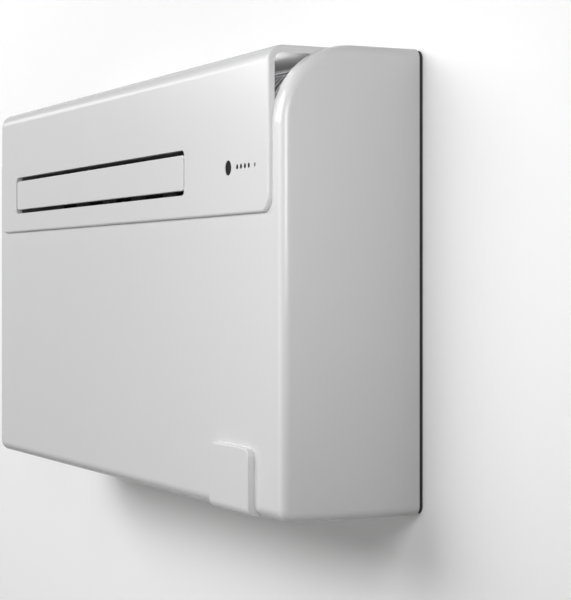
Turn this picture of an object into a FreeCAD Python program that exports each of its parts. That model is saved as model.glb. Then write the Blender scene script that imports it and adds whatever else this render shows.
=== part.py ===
import FreeCAD, Part
import math
import os
from types import SimpleNamespace

import Sketcher

# Through-wall air conditioner. Millimetres, +Z up, +X to the right seen from the room.
# The wall is the plane Y = 0 and the front faces -Y. The origin is the middle of the bracket's bolts.

Vector = FreeCAD.Vector
TINY = 1e-4

doc = FreeCAD.newDocument("through_wall_air_conditioner")
sheet = doc.addObject("Spreadsheet::Sheet", "dims")

SIZES = (
    # Case
    ("width", 978, "case, left to right"),
    ("height", 491, "case, bottom to top"),
    ("wall", 3, "wall of the moulded case"),
    ("top_round", 82, "large curve from the front to the top"),
    ("curve_drop", 12, "curve between the cheeks below the cheeks' own curve"),
    ("side_round", 11, "rounding along both ends of the case"),
    ("bottom_round", 13, "rounding of the front bottom edge"),
    ("fit_gap", 0.3, "gap round a piece that drops into another"),
    ("seal_depth", 4.4, "soft seal between the case and the wall"),
    ("seal_inset", 1.5, "seal edge inside the case edge"),
    ("seal_width", 14, "band width of the seal"),
    # Hood
    ("cheek", 25, "bare cheek of the case beside the hood"),
    ("hood_proud", 5, "hood face in front of the case"),
    ("hood_plate", 8, "thickness of the hood"),
    ("hood_height", 172, "hood, lower edge to top"),
    ("hood_drop", 1, "hood top below the case top"),
    ("hood_reach", 92, "rear edge of the hood behind the case front"),
    ("hood_bend", 17.5, "outer bend of the hood"),
    ("hood_corner", 17, "lower corners of the hood"),
    ("hood_edge", 2.8, "softened edge of the hood"),
    # Outlet and flap
    ("outlet_left", 72.3, "outlet edge from the left end of the hood"),
    ("outlet_right", 224.5, "outlet edge from the right end of the hood"),
    ("outlet_drop", 120.4, "outlet middle below the hood top"),
    ("outlet_height", 51.4, "outlet opening, bottom to top"),
    ("outlet_round", 7, "corners of the outlet opening"),
    ("flap_slot", 5.6, "open slot above and below the flap"),
    ("flap_end_gap", 2.2, "gap at each end of the flap"),
    ("flap_plate", 5, "thickness of the flap"),
    ("flap_edge", 1, "rounding of the flap's front edges"),
    ("flap_corner", 5, "corners of the flap"),
    ("flap_axis", 6, "flap axis behind the hood's inner face"),
    ("flap_ear", 4, "thickness of the flap's ears"),
    ("flap_pin", 2, "radius of the flap's pivot pins"),
    ("flap_boss", 4, "radius of an ear round its pin"),
    ("flap_root", 6, "half height of an ear at the flap"),
    ("bush_wall", 1.4, "wall of the flap's bush"),
    ("bush_flange", 1.5, "thickness of the bush's flange"),
    ("duct_wall", 3, "wall of the outlet duct"),
    ("duct_room", 2.4, "duct inside beyond the outlet opening"),
    ("stepper_radius", 12, "flap motor"),
    ("stepper_length", 16, "flap motor"),
    ("stepper_offset", 6, "flap motor's middle behind its shaft"),
    ("stepper_ear", 8, "width of the flap motor's ears"),
    ("stepper_ear_reach", 6, "ears beyond the flap motor"),
    # Vanes
    ("vane_room", 2, "vanes behind the open flap"),
    ("vane_chord", 18, "vane, front to rear"),
    ("vane_plate", 1.6, "thickness of a vane"),
    ("vane_pin", 2, "radius of a vane's pivot pins"),
    ("vane_lift", 6, "vane above the duct floor"),
    ("vane_top_room", 2, "vane below the duct ceiling"),
    ("link_throw", 8, "link pin behind the vane's axis"),
    ("link_pin", 1.2, "radius of a link pin"),
    ("link_width", 9, "link bar, front to rear"),
    ("link_plate", 2.6, "thickness of the link bar"),
    ("link_float", 0.5, "link bar above the duct floor"),
    ("link_slot_side", 0.8, "room beside a link pin in its slot"),
    ("link_slot_ahead", 2.2, "room ahead of a link pin in its slot"),
    ("link_slot_behind", 0.8, "room behind a link pin in its slot"),
    ("link_end", 14, "link bar beyond its last pin"),
    # Cross-flow fan
    ("fan_radius", 32, "cross-flow fan"),
    ("fan_hub_radius", 23, "inner ends of the blades"),
    ("blade_plate", 1.2, "thickness of a blade"),
    ("blade_curve", 11, "curve of a blade"),
    ("disc_plate", 3, "thickness of a fan disc"),
    ("fan_stub", 5, "radius of the fan's stub shafts"),
    ("fan_end_room", 6, "fan disc to the casing's end plate"),
    ("fan_front_room", 3, "vanes to the fan"),
    ("scroll_gap", 4, "casing below the fan"),
    ("scroll_wall", 2.5, "casing wall"),
    ("casing_top_room", 6, "end plates above the fan"),
    ("bearing_wall", 7, "bearing block round the fan's left stub"),
    ("bearing_length", 9, "bearing block"),
    ("motor_radius", 31, "room fan motor"),
    ("motor_length", 70, "room fan motor"),
    ("clamp_width", 30, "cradle under the motor, left to right"),
    ("clamp_depth", 50, "cradle under the motor, front to rear"),
    # Cooling coil, tray and filters
    ("coil_room", 3, "fan to the cooling coil"),
    ("coil_depth", 16, "cooling coil, front to rear"),
    ("coil_height", 140, "cooling coil"),
    ("coil_end_room", 5, "coil inside the casing's end plates"),
    ("fin_pitch", 14, "one groove of the finned blocks to the next"),
    ("fin_groove", 4, "width of a groove"),
    ("fin_cut", 1.5, "depth of a groove"),
    ("bend_radius", 10, "return bends of the coils"),
    ("bend_tube", 4, "tube radius of the return bends"),
    ("filter_gap", 0.6, "coil to filter"),
    ("filter_depth", 3, "filter frame, front to rear"),
    ("filter_border", 9, "filter frame's border"),
    ("filter_rib", 4, "filter frame's ribs"),
    ("filter_float", 0.5, "filter above the tray floor"),
    ("filter_space", 4, "between the two filters"),
    ("filter_recess", 2, "filter top below the case top"),
    ("mesh_depth", 0.8, "filter mesh"),
    ("plenum", 18.4, "air space behind the filters"),
    ("tray_wall", 2, "drip tray"),
    ("tray_height", 16, "drip tray"),
    ("tray_margin", 4, "drip tray beyond the coil and filter"),
    ("partition_drop", 20, "partition below the hood's lower edge"),
    ("partition_plate", 3, "partition"),
    # Grilles
    ("grille_margin", 59, "grilles from the case ends"),
    ("grille_lip", 3, "grille flange behind the case wall"),
    ("grille_edge", 5, "case strip around the top grille"),
    ("grille_slot", 8, "width of a grille slot"),
    ("grille_bar", 4, "bar between two grille slots"),
    ("hood_slot_front", 18, "front of the opening under the hood, behind the case front"),
    ("hood_slot_back", 42, "back of that opening"),
    # Display
    ("display_drop", 122, "display row below the hood top"),
    ("window_place", 100.5, "window from the right end of the hood"),
    ("window_radius", 8, "dark window"),
    ("lamp_place", 77, "first lamp from the right end of the hood"),
    ("lamp_pitch", 10, "lamp to lamp"),
    ("lamp_radius", 2.7, "lamp lens"),
    ("button_place", 32, "button from the right end of the hood"),
    ("button_radius", 2.1, "button"),
    ("lens_recess", 0.3, "lenses behind the hood's face"),
    ("lens_gap", 0.15, "gap round a lens"),
    ("button_travel", 1, "button's stroke"),
    ("board_plate", 1.6, "circuit boards"),
    ("board_margin", 16, "display board beyond its row of lenses"),
    ("board_ledge", 6, "display board behind the case wall"),
    ("board_half", 16, "half of the display board's height"),
    # Tag
    ("tag_place", 69, "tag from the right end of the case"),
    ("tag_width", 102.5, "tag, left to right"),
    ("tag_height", 71.6, "tag, bottom to top"),
    ("tag_proud", 7.5, "tag in front of the case"),
    ("tag_corner", 9, "upper corners of the tag"),
    ("tag_under", 9, "tag's rounded lower edge"),
    ("tag_edge", 1.5, "softened edge of the tag"),
    # Back and hanging
    ("panel_plate", 2, "back panel"),
    ("bracket_drop", 191, "bolt middle below the case top"),
    ("bracket_plate", 2, "wall bracket"),
    ("bolt_across", 300, "bolt holes, left to right"),
    ("bolt_up", 60, "bolt holes, bottom to top"),
    ("bolt_radius", 4.5, "bolt holes"),
    ("bracket_edge", 20, "bracket beyond its bolt holes"),
    ("hook_place", 80, "hooks from the middle"),
    ("hook_width", 30, "hook"),
    ("hook_plate", 3, "hook"),
    ("hook_lip", 8, "hook's upturned lip"),
    ("hook_reach", 5, "hook's lip in front of the back panel"),
    ("hook_room", 2, "slot round a hook"),
    # Wall ducts
    ("duct_pitch", 293, "duct middle to duct middle"),
    ("duct_height", 150, "duct middle above the case bottom"),
    ("duct_bore", 78, "radius inside a duct collar"),
    ("collar_wall", 2.5, "collar"),
    ("collar_flange", 12, "collar flange beyond the collar"),
    ("collar_flange_plate", 2, "collar flange"),
    ("collar_depth", 12, "collar in front of the back panel"),
    ("shroud_wall", 3, "fan ring in front of the exhaust collar"),
    ("shroud_step", 2, "fan ring's bore inside the collar's bore"),
    ("shroud_length", 42, "fan ring"),
    ("arm_width", 12, "arms of the exhaust motor's bracket"),
    ("arm_plate", 3, "thickness of that bracket"),
    ("blower_tip_gap", 3, "fan blade tip to the ring"),
    ("blower_hub", 24, "radius of the exhaust fan's hub"),
    ("blower_depth", 26, "exhaust fan, front to rear"),
    ("blower_room", 5, "exhaust fan behind its motor's bracket"),
    ("blower_blade", 2, "thickness of the exhaust fan's blades"),
    ("blower_inset", 5, "exhaust fan's blades inside its hub's ends"),
    ("blower_shaft", 4, "radius of the exhaust motor's shaft"),
    ("blower_motor_radius", 30, "exhaust motor"),
    ("blower_motor_length", 38, "exhaust motor"),
    # Lower chamber
    ("pan_plate", 2, "base pan"),
    ("pan_rim", 4, "base pan's rim above the drain"),
    ("pan_room", 1, "base pan inside the case's rounded edges"),
    ("condenser_set", 25, "condenser behind the case front"),
    ("condenser_depth", 35, "condenser, front to rear"),
    ("condenser_room", 46, "condenser from the left wall"),
    ("condenser_head", 14, "condenser below the partition"),
    ("divider_plate", 2, "wall between the two air chambers"),
    ("divider_gap", 4, "that wall to the fan ring"),
    ("accumulator_radius", 22, "accumulator"),
    ("accumulator_length", 130, "accumulator"),
    ("accumulator_lift", 50, "accumulator above the pan"),
    ("accumulator_dome", 11, "rounding of the accumulator's ends"),
    ("accumulator_tube", 5, "tube below the accumulator"),
    ("accumulator_drop", 21, "that tube's bend below the accumulator"),
    ("compressor_room", 30, "compressor from the right wall"),
    ("compressor_gap", 6, "accumulator to the compressor"),
    ("compressor_radius", 55, "compressor"),
    ("compressor_length", 170, "compressor without its foot"),
    ("compressor_dome", 18, "rounding of the compressor's ends"),
    ("foot_plate", 3, "compressor's foot"),
    ("foot_reach", 10, "foot beyond the compressor"),
    ("grommet_radius", 11, "rubber foot"),
    ("grommet_height", 12, "rubber foot"),
    ("stub_length", 8, "compressor's outlet stub"),
    ("pipe_radius", 4.5, "gas pipes"),
    ("pipe_bend", 14, "bends of the gas pipes"),
    ("hot_drop", 33, "hot gas pipe below the partition"),
    ("hot_set", 9, "hot gas pipe behind the condenser's front"),
    ("cold_drop", 52, "cold gas pipe below the partition"),
    ("liquid_radius", 2.5, "liquid pipe"),
    ("liquid_bend", 9, "bends of the liquid pipe"),
    ("liquid_drop", 14, "liquid pipe below the partition"),
    ("liquid_set", 9, "liquid pipe in front of the condenser's back"),
    ("liquid_lift", 36, "liquid pipe above the pan"),
    ("pipe_hole", 2, "room round a pipe through the partition"),
    ("pipe_side", 24, "pipes to the right of the condenser"),
    ("cold_rise", 42, "cold gas pipe above the partition"),
    ("liquid_rise", 28, "liquid pipe above the partition"),
    # Control box, gland, drain and screws
    ("box_room", 20, "control box from the right wall"),
    ("box_width", 112, "control box, left to right"),
    ("box_height", 92, "control box, bottom to top"),
    ("box_set", 40, "control box behind the case front"),
    ("box_depth", 84, "control box, front to rear"),
    ("box_plate", 1.5, "control box"),
    ("board_room", 3, "control board inside its box"),
    ("chip_width", 18, "parts on the control board, left to right"),
    ("chip_height", 18, "parts on the control board, bottom to top"),
    ("chip_depth", 12, "parts on the control board, front to rear"),
    ("chip_lift", 50, "parts above the bottom of the control box"),
    ("capacitor_radius", 17, "run capacitor"),
    ("capacitor_length", 60, "run capacitor"),
    ("gland_radius", 8, "cord gland"),
    ("gland_flange", 4, "gland flange beyond its neck"),
    ("gland_bore", 4, "radius of the gland's hole"),
    ("gland_plate", 3, "gland flange"),
    ("gland_place", 60, "gland from the right wall"),
    ("gland_rise", 60, "gland above the partition"),
    ("drain_neck", 9, "drain spout's neck through the back panel"),
    ("drain_radius", 8, "drain spout"),
    ("drain_bore", 6, "radius inside the drain spout"),
    ("drain_length", 22, "drain spout behind the wall plane"),
    ("drain_place", 300, "drain spout from the middle, to the left"),
    ("screw_radius", 2, "cover screw"),
    ("screw_head", 4, "radius of a screw head"),
    ("screw_head_plate", 1.6, "screw head"),
    ("screw_inset", 60, "cover screws from the case ends"),
    ("screw_set", 30, "cover screws from the case front and back"),
)

VANE_COUNT = 6
BLADE_COUNT = 24
FAN_DISCS = 6
LAMP_COUNT = 4
BLOWER_BLADES = 5
BRACKET_ARMS = 3
FILTER_RIBS = 2
COIL_ROWS = 5
CONDENSER_ROWS = 9
CHIP_COUNT = 3
FOOT_COUNT = 3

# Angles in degrees
FULL_TURN = 360
BLADE_LEAN = 14.4
FIRST_FOOT = 90
SCROLL_END = 35
BLOWER_ROOT_TWIST = 52
BLOWER_TIP_TWIST = 66


class Size:
    """A length with the expression that ties it to the sheet."""

    def __init__(self, value, text):
        self.value = float(value)
        self.text = text

    def __add__(self, other):
        other = as_size(other)
        return Size(self.value + other.value, f"({self.text} + {other.text})")

    def __sub__(self, other):
        other = as_size(other)
        return Size(self.value - other.value, f"({self.text} - {other.text})")

    def __mul__(self, number):
        return Size(self.value * number, f"({self.text} * {number})")

    def __truediv__(self, number):
        return Size(self.value / number, f"({self.text} / {number})")

    def __neg__(self):
        return Size(-self.value, f"(0 - {self.text})")


def as_size(number):
    """Lets a plain number stand where a size is asked for."""
    return number if isinstance(number, Size) else Size(number, repr(float(number)))


def fill_sheet():
    """Writes every driving size to its own cell and hands back the sizes by name."""
    sizes = SimpleNamespace()
    for row, (alias, value, meaning) in enumerate(SIZES, start=1):
        sheet.set(f"A{row}", meaning)
        sheet.set(f"B{row}", str(value))
        sheet.setAlias(f"B{row}", alias)
        setattr(sizes, alias, Size(value, f"dims.{alias}"))
    doc.recompute()
    return sizes


d = fill_sheet()

# Stations behind the case front, from the flap back to the wall
hood_seat = d.hood_plate - d.hood_proud
flap_axis = hood_seat + d.flap_axis
flap_height = d.outlet_height - d.flap_slot * 2
vane_front = flap_axis + flap_height / 2 + d.vane_room
vane_axis = vane_front + d.vane_chord / 2
fan_front = vane_front + d.vane_chord + d.fan_front_room
fan_axis = fan_front + d.fan_radius
coil_front = fan_axis + d.fan_radius + d.coil_room
coil_back = coil_front + d.coil_depth
filter_front = coil_back + d.filter_gap
filter_back = filter_front + d.filter_depth
panel_front = filter_back + d.plenum
case_back = panel_front + d.panel_plate
wall_plane = case_back + d.seal_depth

# Heights above the case bottom
bolt_height = d.height - d.bracket_drop
hood_top = d.height - d.hood_drop
hood_under = hood_top - d.hood_plate
hood_base = hood_top - d.hood_height
sunk_round = d.top_round - d.curve_drop
outlet_middle = hood_top - d.outlet_drop
duct_half = d.outlet_height / 2 + d.duct_room
duct_floor = outlet_middle - duct_half
duct_ceiling = outlet_middle + duct_half
fan_height = duct_floor + d.scroll_gap + d.fan_radius
display_height = hood_top - d.display_drop
partition_top = hood_base - d.partition_drop
partition_under = partition_top - d.partition_plate
tray_floor = partition_top + d.tray_wall
pan_top = d.wall + d.pan_plate
inner_top = d.height - d.wall

# Places along the case
half = d.width / 2
inner_half = half - d.wall
hood_half = half - d.cheek
outlet_start = d.outlet_left - hood_half
outlet_end = hood_half - d.outlet_right
duct_start = outlet_start - d.duct_room
duct_end = outlet_end + d.duct_room
casing_start = duct_start - d.duct_wall
casing_end = duct_end + d.duct_wall
exhaust_x = d.duct_pitch / 2
shroud_radius = d.duct_bore + d.shroud_wall
divider_x = exhaust_x - shroud_radius - d.divider_gap
condenser_start = d.condenser_room - inner_half
condenser_end = divider_x - d.divider_plate
compressor_x = inner_half - d.compressor_room - d.compressor_radius
accumulator_x = compressor_x - d.compressor_radius - d.compressor_gap - d.accumulator_radius
chamber_middle = (d.wall + panel_front) / 2


def back(station):
    """Y of a place measured back from the case front."""
    return as_size(station) - wall_plane


def up(level):
    """Z of a height measured up from the case bottom."""
    return as_size(level) - bolt_height


def bind(thing, name, size):
    """Ties one property of a feature to the sheet."""
    thing.setExpression(name, as_size(size).text)


def box(name, x, y, z):
    """A block between two limits along each axis."""
    solid = doc.addObject("Part::Box", name)
    for side, axis, (low, high) in (("Length", "x", x), ("Width", "y", y), ("Height", "z", z)):
        bind(solid, side, as_size(high) - low)
        bind(solid, f"Placement.Base.{axis}", low)
    return solid


ROD_TURNS = {
    "x": FreeCAD.Rotation(Vector(0, 1, 0), 90),
    "y": FreeCAD.Rotation(Vector(1, 0, 0), -90),
    "z": FreeCAD.Rotation(),
}


def rod(name, axis, span, centre, radius):
    """A cylinder along one axis; its centre gives the other two coordinates in order."""
    solid = doc.addObject("Part::Cylinder", name)
    low, high = span
    bind(solid, "Radius", radius)
    bind(solid, "Height", as_size(high) - low)
    solid.Placement = FreeCAD.Placement(Vector(), ROD_TURNS[axis])
    others = [letter for letter in "xyz" if letter != axis]
    for letter, place in zip([axis] + others, [low] + list(centre)):
        bind(solid, f"Placement.Base.{letter}", place)
    return solid


def fuse(name, *shapes):
    """One solid from several that touch or overlap."""
    union = doc.addObject("Part::MultiFuse", name)
    union.Shapes = list(shapes)
    union.Refine = True
    return union


def cut(name, base, *tools):
    """A solid with one or more others taken away."""
    rest = doc.addObject("Part::Cut", name)
    rest.Base = base
    rest.Tool = tools[0] if len(tools) == 1 else fuse(f"{name}_tools", *tools)
    rest.Refine = True
    return rest


def common(name, first, second):
    """What two solids share."""
    shared = doc.addObject("Part::Common", name)
    shared.Base = first
    shared.Tool = second
    shared.Refine = True
    return shared


def ring(name, axis, span, centre, inner, outer):
    """A tube along one axis."""
    return cut(name, rod(f"{name}_outside", axis, span, centre, outer),
               rod(f"{name}_inside", axis, span, centre, inner))


def arc_segment(start, end, radius):
    """A short arc between two points, turning left for a positive radius and right for a negative one."""
    chord = end - start
    rise = math.sqrt(radius**2 - (chord.Length / 2) ** 2)
    left = Vector(-chord.y, chord.x, 0).normalize()
    centre = (start + end) / 2 + left * math.copysign(rise, radius)
    first, last = (start, end) if radius > 0 else (end, start)
    angles = [math.atan2(point.y - centre.y, point.x - centre.x) for point in (first, last)]
    return Part.ArcOfCircle(Part.Circle(centre, Vector(0, 0, 1), abs(radius)), *angles)


def origin_feature(body, role):
    """One of a body's own planes or axes."""
    return [item for item in body.Origin.OriginFeatures if item.Role == role][0]


def outline(body, plane, corners, level):
    """A closed sketch on one of the body's planes; a third value in a corner bends the next side."""
    sketch = body.newObject("Sketcher::SketchObject", f"{body.Name}_sketch")
    sketch.AttachmentSupport = [(origin_feature(body, plane), "")]
    sketch.MapMode = "FlatFace"
    bind(sketch, "AttachmentOffset.Base.z", level)
    count = len(corners)
    places = [Vector(as_size(corner[0]).value, as_size(corner[1]).value, 0) for corner in corners]
    heads = []
    for index, corner in enumerate(corners):
        start, end = places[index], places[(index + 1) % count]
        bend = as_size(corner[2]).value if len(corner) > 2 else 0
        side = arc_segment(start, end, bend) if bend else Part.LineSegment(start, end)
        sketch.addGeometry(side, False)
        heads.append((2, 1) if bend < 0 else (1, 2))
    for index in range(count):
        after = (index + 1) % count
        sketch.addConstraint(Sketcher.Constraint("Coincident", index, heads[index][1], after,
                                                 heads[after][0]))
    for index, corner in enumerate(corners):
        head = heads[index][0]
        for kind, size in (("DistanceX", as_size(corner[0])), ("DistanceY", as_size(corner[1]))):
            number = sketch.addConstraint(Sketcher.Constraint(kind, -1, 1, index, head, size.value))
            sketch.setExpression(f"Constraints[{number}]", size.text)
        if len(corner) > 2:
            bend = as_size(corner[2])
            bend = bend if bend.value > 0 else -bend
            number = sketch.addConstraint(Sketcher.Constraint("Radius", index, bend.value))
            sketch.setExpression(f"Constraints[{number}]", bend.text)
    return sketch


def prism(name, plane, corners, span):
    """A body padded from an outline between two levels along the plane's normal."""
    body = doc.addObject("PartDesign::Body", name)
    low, high = span
    sketch = outline(body, plane, corners, low)
    pad = body.newObject("PartDesign::Pad", f"{name}_pad")
    pad.Profile = sketch
    bind(pad, "Length", as_size(high) - low)
    doc.recompute()
    return body


def along_x(name, corners, span):
    """A body with its outline in Y and Z."""
    return prism(name, "YZ_Plane", corners, span)


def along_y(name, corners, span):
    """A body with its outline in X and Z; the plane's normal points to -Y."""
    low, high = span
    return prism(name, "XZ_Plane", corners, (-as_size(high), -as_size(low)))


def along_z(name, corners, span):
    """A body with its outline in X and Y."""
    return prism(name, "XY_Plane", corners, span)


def rectangle(first, second):
    """Corners of a rectangle from its two spans."""
    (left, right), (low, high) = first, second
    return [(left, low), (right, low), (right, high), (left, high)]


def turned(name, corners, centre):
    """A body turned about an upright axis from an outline of radii and heights."""
    body = doc.addObject("PartDesign::Body", name)
    turn = body.newObject("PartDesign::Revolution", f"{name}_turn")
    turn.Profile = outline(body, "XZ_Plane", corners, as_size(0))
    turn.ReferenceAxis = (origin_feature(body, "Z_Axis"), [""])
    turn.Angle = FULL_TURN
    for axis, place in zip("xyz", (*centre, up(0))):
        bind(body, f"Placement.Base.{axis}", place)
    return body


def at(**places):
    """Picks the edges that keep to the given coordinates all along."""
    def picks(edge):
        middle = edge.valueAt((edge.FirstParameter + edge.LastParameter) / 2)
        points = [vertex.Point for vertex in edge.Vertexes] + [middle]
        return all(abs(getattr(point, axis) - as_size(place).value) < TINY
                   for axis, place in places.items() for point in points)
    return picks


def round_edges(body, radius, *tests):
    """Rounds the edges of the body that any of the tests picks."""
    doc.recompute()
    base = body.Tip
    names = [f"Edge{number}" for number, edge in enumerate(base.Shape.Edges, start=1)
             if any(test(edge) for test in tests)]
    fillet = body.newObject("PartDesign::Fillet", f"{body.Name}_round")
    fillet.Base = (base, names)
    bind(fillet, "Radius", radius)
    doc.recompute()
    return body


def pipe(name, points, radius, bend):
    """A tube of straight runs joined by tangent bends, its corners given as sizes."""
    places = [Vector(*(as_size(place).value for place in point)) for point in points]
    edges = []
    start = places[0]
    for before, corner, after in zip(places, places[1:], places[2:]):
        inward = (corner - before).normalize()
        onward = (after - corner).normalize()
        half_turn = inward.getAngle(onward) / 2
        reach = bend.value * math.tan(half_turn)
        first, last = corner - inward * reach, corner + onward * reach
        middle = corner + (onward - inward).normalize() * (bend.value / math.cos(half_turn) - bend.value)
        edges += [Part.LineSegment(start, first).toShape(), Part.Arc(first, middle, last).toShape()]
        start = last
    edges.append(Part.LineSegment(start, places[-1]).toShape())
    section = Part.Circle(places[0], (places[1] - places[0]).normalize(), radius.value).toShape()
    solid = doc.addObject("Part::Feature", name)
    solid.Shape = Part.Wire(edges).makePipe(Part.Face(Part.Wire(section)))
    return solid


NODES = []


def node(label, solid):
    """Names a finished sub-part."""
    solid.Label = label
    NODES.append(solid)
    return solid


def case_form(name, reach, front, rear, low, high, rounds):
    """The case's outer or inner form: a curved front and top with rounded ends."""
    top, bottom, side = rounds
    corners = [
        (back(rear), up(low)),
        (back(rear), up(high)),
        (back(front + top), up(high), top),
        (back(front), up(high - top)),
        (back(front), up(low + bottom), bottom),
        (back(front + bottom), up(low)),
    ]
    body = along_x(name, corners, (-reach, reach))
    rear_edge = at(y=back(rear))
    for end in (-reach, reach):
        end_edge = at(x=end)
        round_edges(body, side, lambda edge: end_edge(edge) and not rear_edge(edge))
    return body


def front_shell():
    """White case with the hood's rebate, the outlet, the display window and both air inlets."""
    outer = case_form("case_outer", half, as_size(0), case_back, as_size(0), d.height,
                      (d.top_round, d.bottom_round, d.side_round))
    beyond = case_back + d.wall
    inner = case_form("case_inner", inner_half, d.wall, beyond, d.wall, inner_top,
                      (d.top_round - d.wall, d.bottom_round - d.wall, d.side_round - d.wall))
    ledge, lid = hood_base - d.wall, hood_under - d.wall
    upper_front = hood_seat + d.wall
    rooms = fuse(
        "case_rooms",
        box("room_below", (-half, half), (back(0), back(beyond)), (up(0), up(ledge))),
        box("room_behind_hood", (-half, half), (back(upper_front), back(beyond)), (up(ledge), up(lid))),
        box("room_rear", (-half, half), (back(d.hood_reach + d.wall), back(beyond)), (up(lid), up(d.height))))
    reach = hood_half + d.fit_gap
    cavity = cut("case_cavity", common("case_inside", inner, rooms),
                 above_curve("curve_wall", reach + d.wall, d.wall))
    foot = hood_base - d.fit_gap
    front_rebate = along_y("rebate_front", rectangle((-reach, reach), (up(foot), up(d.height + d.wall))),
                           (back(-d.wall), back(hood_seat)))
    round_edges(front_rebate, d.hood_corner + d.fit_gap, at(x=reach, z=up(foot)), at(x=-reach, z=up(foot)))
    top_rebate = box("rebate_top", (-reach, reach), (back(-d.wall), back(d.hood_reach + d.fit_gap)),
                     (up(hood_under), up(d.height + d.wall)))
    through = (back(0), back(upper_front + d.wall))
    side_room = d.bush_flange + d.fit_gap
    outlet = box("outlet_cut", (casing_start - side_room, casing_end + side_room), through,
                 (up(duct_floor - d.duct_wall - d.fit_gap), up(duct_ceiling + d.duct_wall + d.fit_gap)))
    board_x = board_span()
    window = box("display_cut", (board_x[0] + d.board_ledge, board_x[1] - d.board_ledge), through,
                 (up(display_height - d.board_half + d.board_ledge),
                  up(display_height + d.board_half - d.board_ledge)))
    grille_half = half - d.grille_margin
    hood_inlet = box("hood_inlet_cut", (-grille_half, grille_half),
                     (back(d.hood_slot_front), back(d.hood_slot_back)),
                     (up(d.height - d.top_round), up(hood_under)))
    top_inlet = box("top_inlet_cut", (-grille_half, grille_half), top_grille_span(as_size(0)),
                    (up(inner_top - d.wall), up(d.height + d.wall)))
    screws = [hole for place in screw_places() for hole in screw_holes(place)]
    return cut("front_shell", outer, cavity, front_rebate, top_rebate, above_curve("curve_recess", reach, 0),
               outlet, window, hood_inlet, top_inlet, *screws)


def above_curve(name, reach, depth):
    """Everything in front of and above the sunk curve under the hood, or a depth below its surface."""
    low = d.height - d.top_round
    room = box(f"{name}_room", (-reach, reach), (back(-d.wall), back(d.top_round + depth)),
               (up(low - depth), up(d.height + d.wall)))
    round_part = rod(f"{name}_round", "x", (-reach, reach), (back(d.top_round), up(low)), sunk_round - depth)
    return cut(name, room, round_part)


def board_span():
    """Left and right ends of the display board."""
    return (hood_half - d.window_place - d.window_radius - d.board_margin,
            hood_half - d.button_place + d.board_margin)


def top_grille_span(gap):
    """Front and rear of the top grille, drawn in by a gap."""
    return (back(d.hood_reach + d.grille_edge + d.wall + gap), back(panel_front - d.grille_edge - gap))


def screw_places():
    """Middles of the four cover screws."""
    across = half - d.screw_inset
    return [(x, y) for x in (-across, across) for y in (back(d.screw_set), back(panel_front - d.screw_set))]


def screw_holes(place):
    """A cover screw's through hole and the seat of its head in the case bottom."""
    number = len(doc.Objects)
    return (rod(f"screw_hole_{number}", "z", (up(-d.wall), up(d.wall * 2)), place,
                d.screw_radius + d.lens_gap),
            rod(f"screw_seat_{number}", "z", (up(-d.wall), up(d.screw_head_plate)), place,
                d.screw_head + d.lens_gap))


def cover_screws():
    """Four screws from below that hold the case to the base pan."""
    solids = []
    for number, place in enumerate(screw_places()):
        head = rod(f"screw_head_{number}", "z", (up(0), up(d.screw_head_plate)), place, d.screw_head)
        shank = rod(f"screw_shank_{number}", "z", (up(0), up(pan_top)), place, d.screw_radius)
        solids.append(fuse(f"screw_{number}", head, shank))
    group = doc.addObject("Part::Compound", "cover_screws")
    group.Links = solids
    return group


def hood():
    """Bent plate over the upper front and the top, with the outlet and the display's holes."""
    corners = [
        (back(-d.hood_proud), up(hood_base)),
        (back(hood_seat), up(hood_base)),
        (back(hood_seat), up(hood_under)),
        (back(d.hood_reach), up(hood_under)),
        (back(d.hood_reach), up(hood_top)),
        (back(-d.hood_proud), up(hood_top)),
    ]
    plate = along_x("hood_plate", corners, (-hood_half, hood_half))
    round_edges(plate, d.hood_bend, at(y=back(-d.hood_proud), z=up(hood_top)))
    round_edges(plate, d.hood_bend - d.hood_plate, at(y=back(hood_seat), z=up(hood_under)))
    round_edges(plate, d.hood_corner, at(x=hood_half, z=up(hood_base)), at(x=-hood_half, z=up(hood_base)))
    round_edges(plate, d.hood_edge, at(y=back(-d.hood_proud), z=up(hood_base)))
    through = (back(-d.hood_proud - d.wall), back(hood_seat + d.wall))
    opening = along_y("hood_opening", rectangle(
        (outlet_start, outlet_end),
        (up(outlet_middle - d.outlet_height / 2), up(outlet_middle + d.outlet_height / 2))), through)
    round_edges(opening, d.outlet_round, *(at(x=x, z=up(outlet_middle + d.outlet_height / 2 * z))
                                           for x in (outlet_start, outlet_end) for z in (-1, 1)))
    holes = [rod(f"hood_hole_{number}", "y", through, (x, up(display_height)), radius + gap)
             for number, (x, radius, gap) in enumerate(display_row())]
    return cut("hood", plate, opening, *holes)


def display_row():
    """Place, radius and gap of the window, the lamps and the button, left to right."""
    lamps = [(hood_half - d.lamp_place + d.lamp_pitch * number, d.lamp_radius, d.lens_gap)
             for number in range(LAMP_COUNT)]
    return ([(hood_half - d.window_place, d.window_radius, d.lens_gap)] + lamps
            + [(hood_half - d.button_place, d.button_radius, d.fit_gap)])


def display_pieces():
    """Dark window, lamp lenses, button and the board behind them."""
    row = display_row()
    board_front = hood_seat + d.wall
    lens = (back(d.lens_recess - d.hood_proud), back(board_front))
    window = rod("ir_window", "y", lens, (row[0][0], up(display_height)), row[0][1])
    lamps = doc.addObject("Part::Compound", "led_lenses")
    lamps.Links = [rod(f"lamp_{number}", "y", lens, (x, up(display_height)), radius)
                   for number, (x, radius, gap) in enumerate(row[1:-1])]
    stroke_end = board_front - d.button_travel - d.fit_gap
    button = rod("reset_button", "y", (back(d.lens_recess - d.hood_proud), back(stroke_end)),
                 (row[-1][0], up(display_height)), row[-1][1])
    board = box("display_board", board_span(), (back(board_front), back(board_front + d.board_plate)),
                (up(display_height - d.board_half), up(display_height + d.board_half)))
    node("ir_window", window)
    node("led_lenses", lamps)
    node("reset_button", button)
    node("display_board", board)


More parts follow.
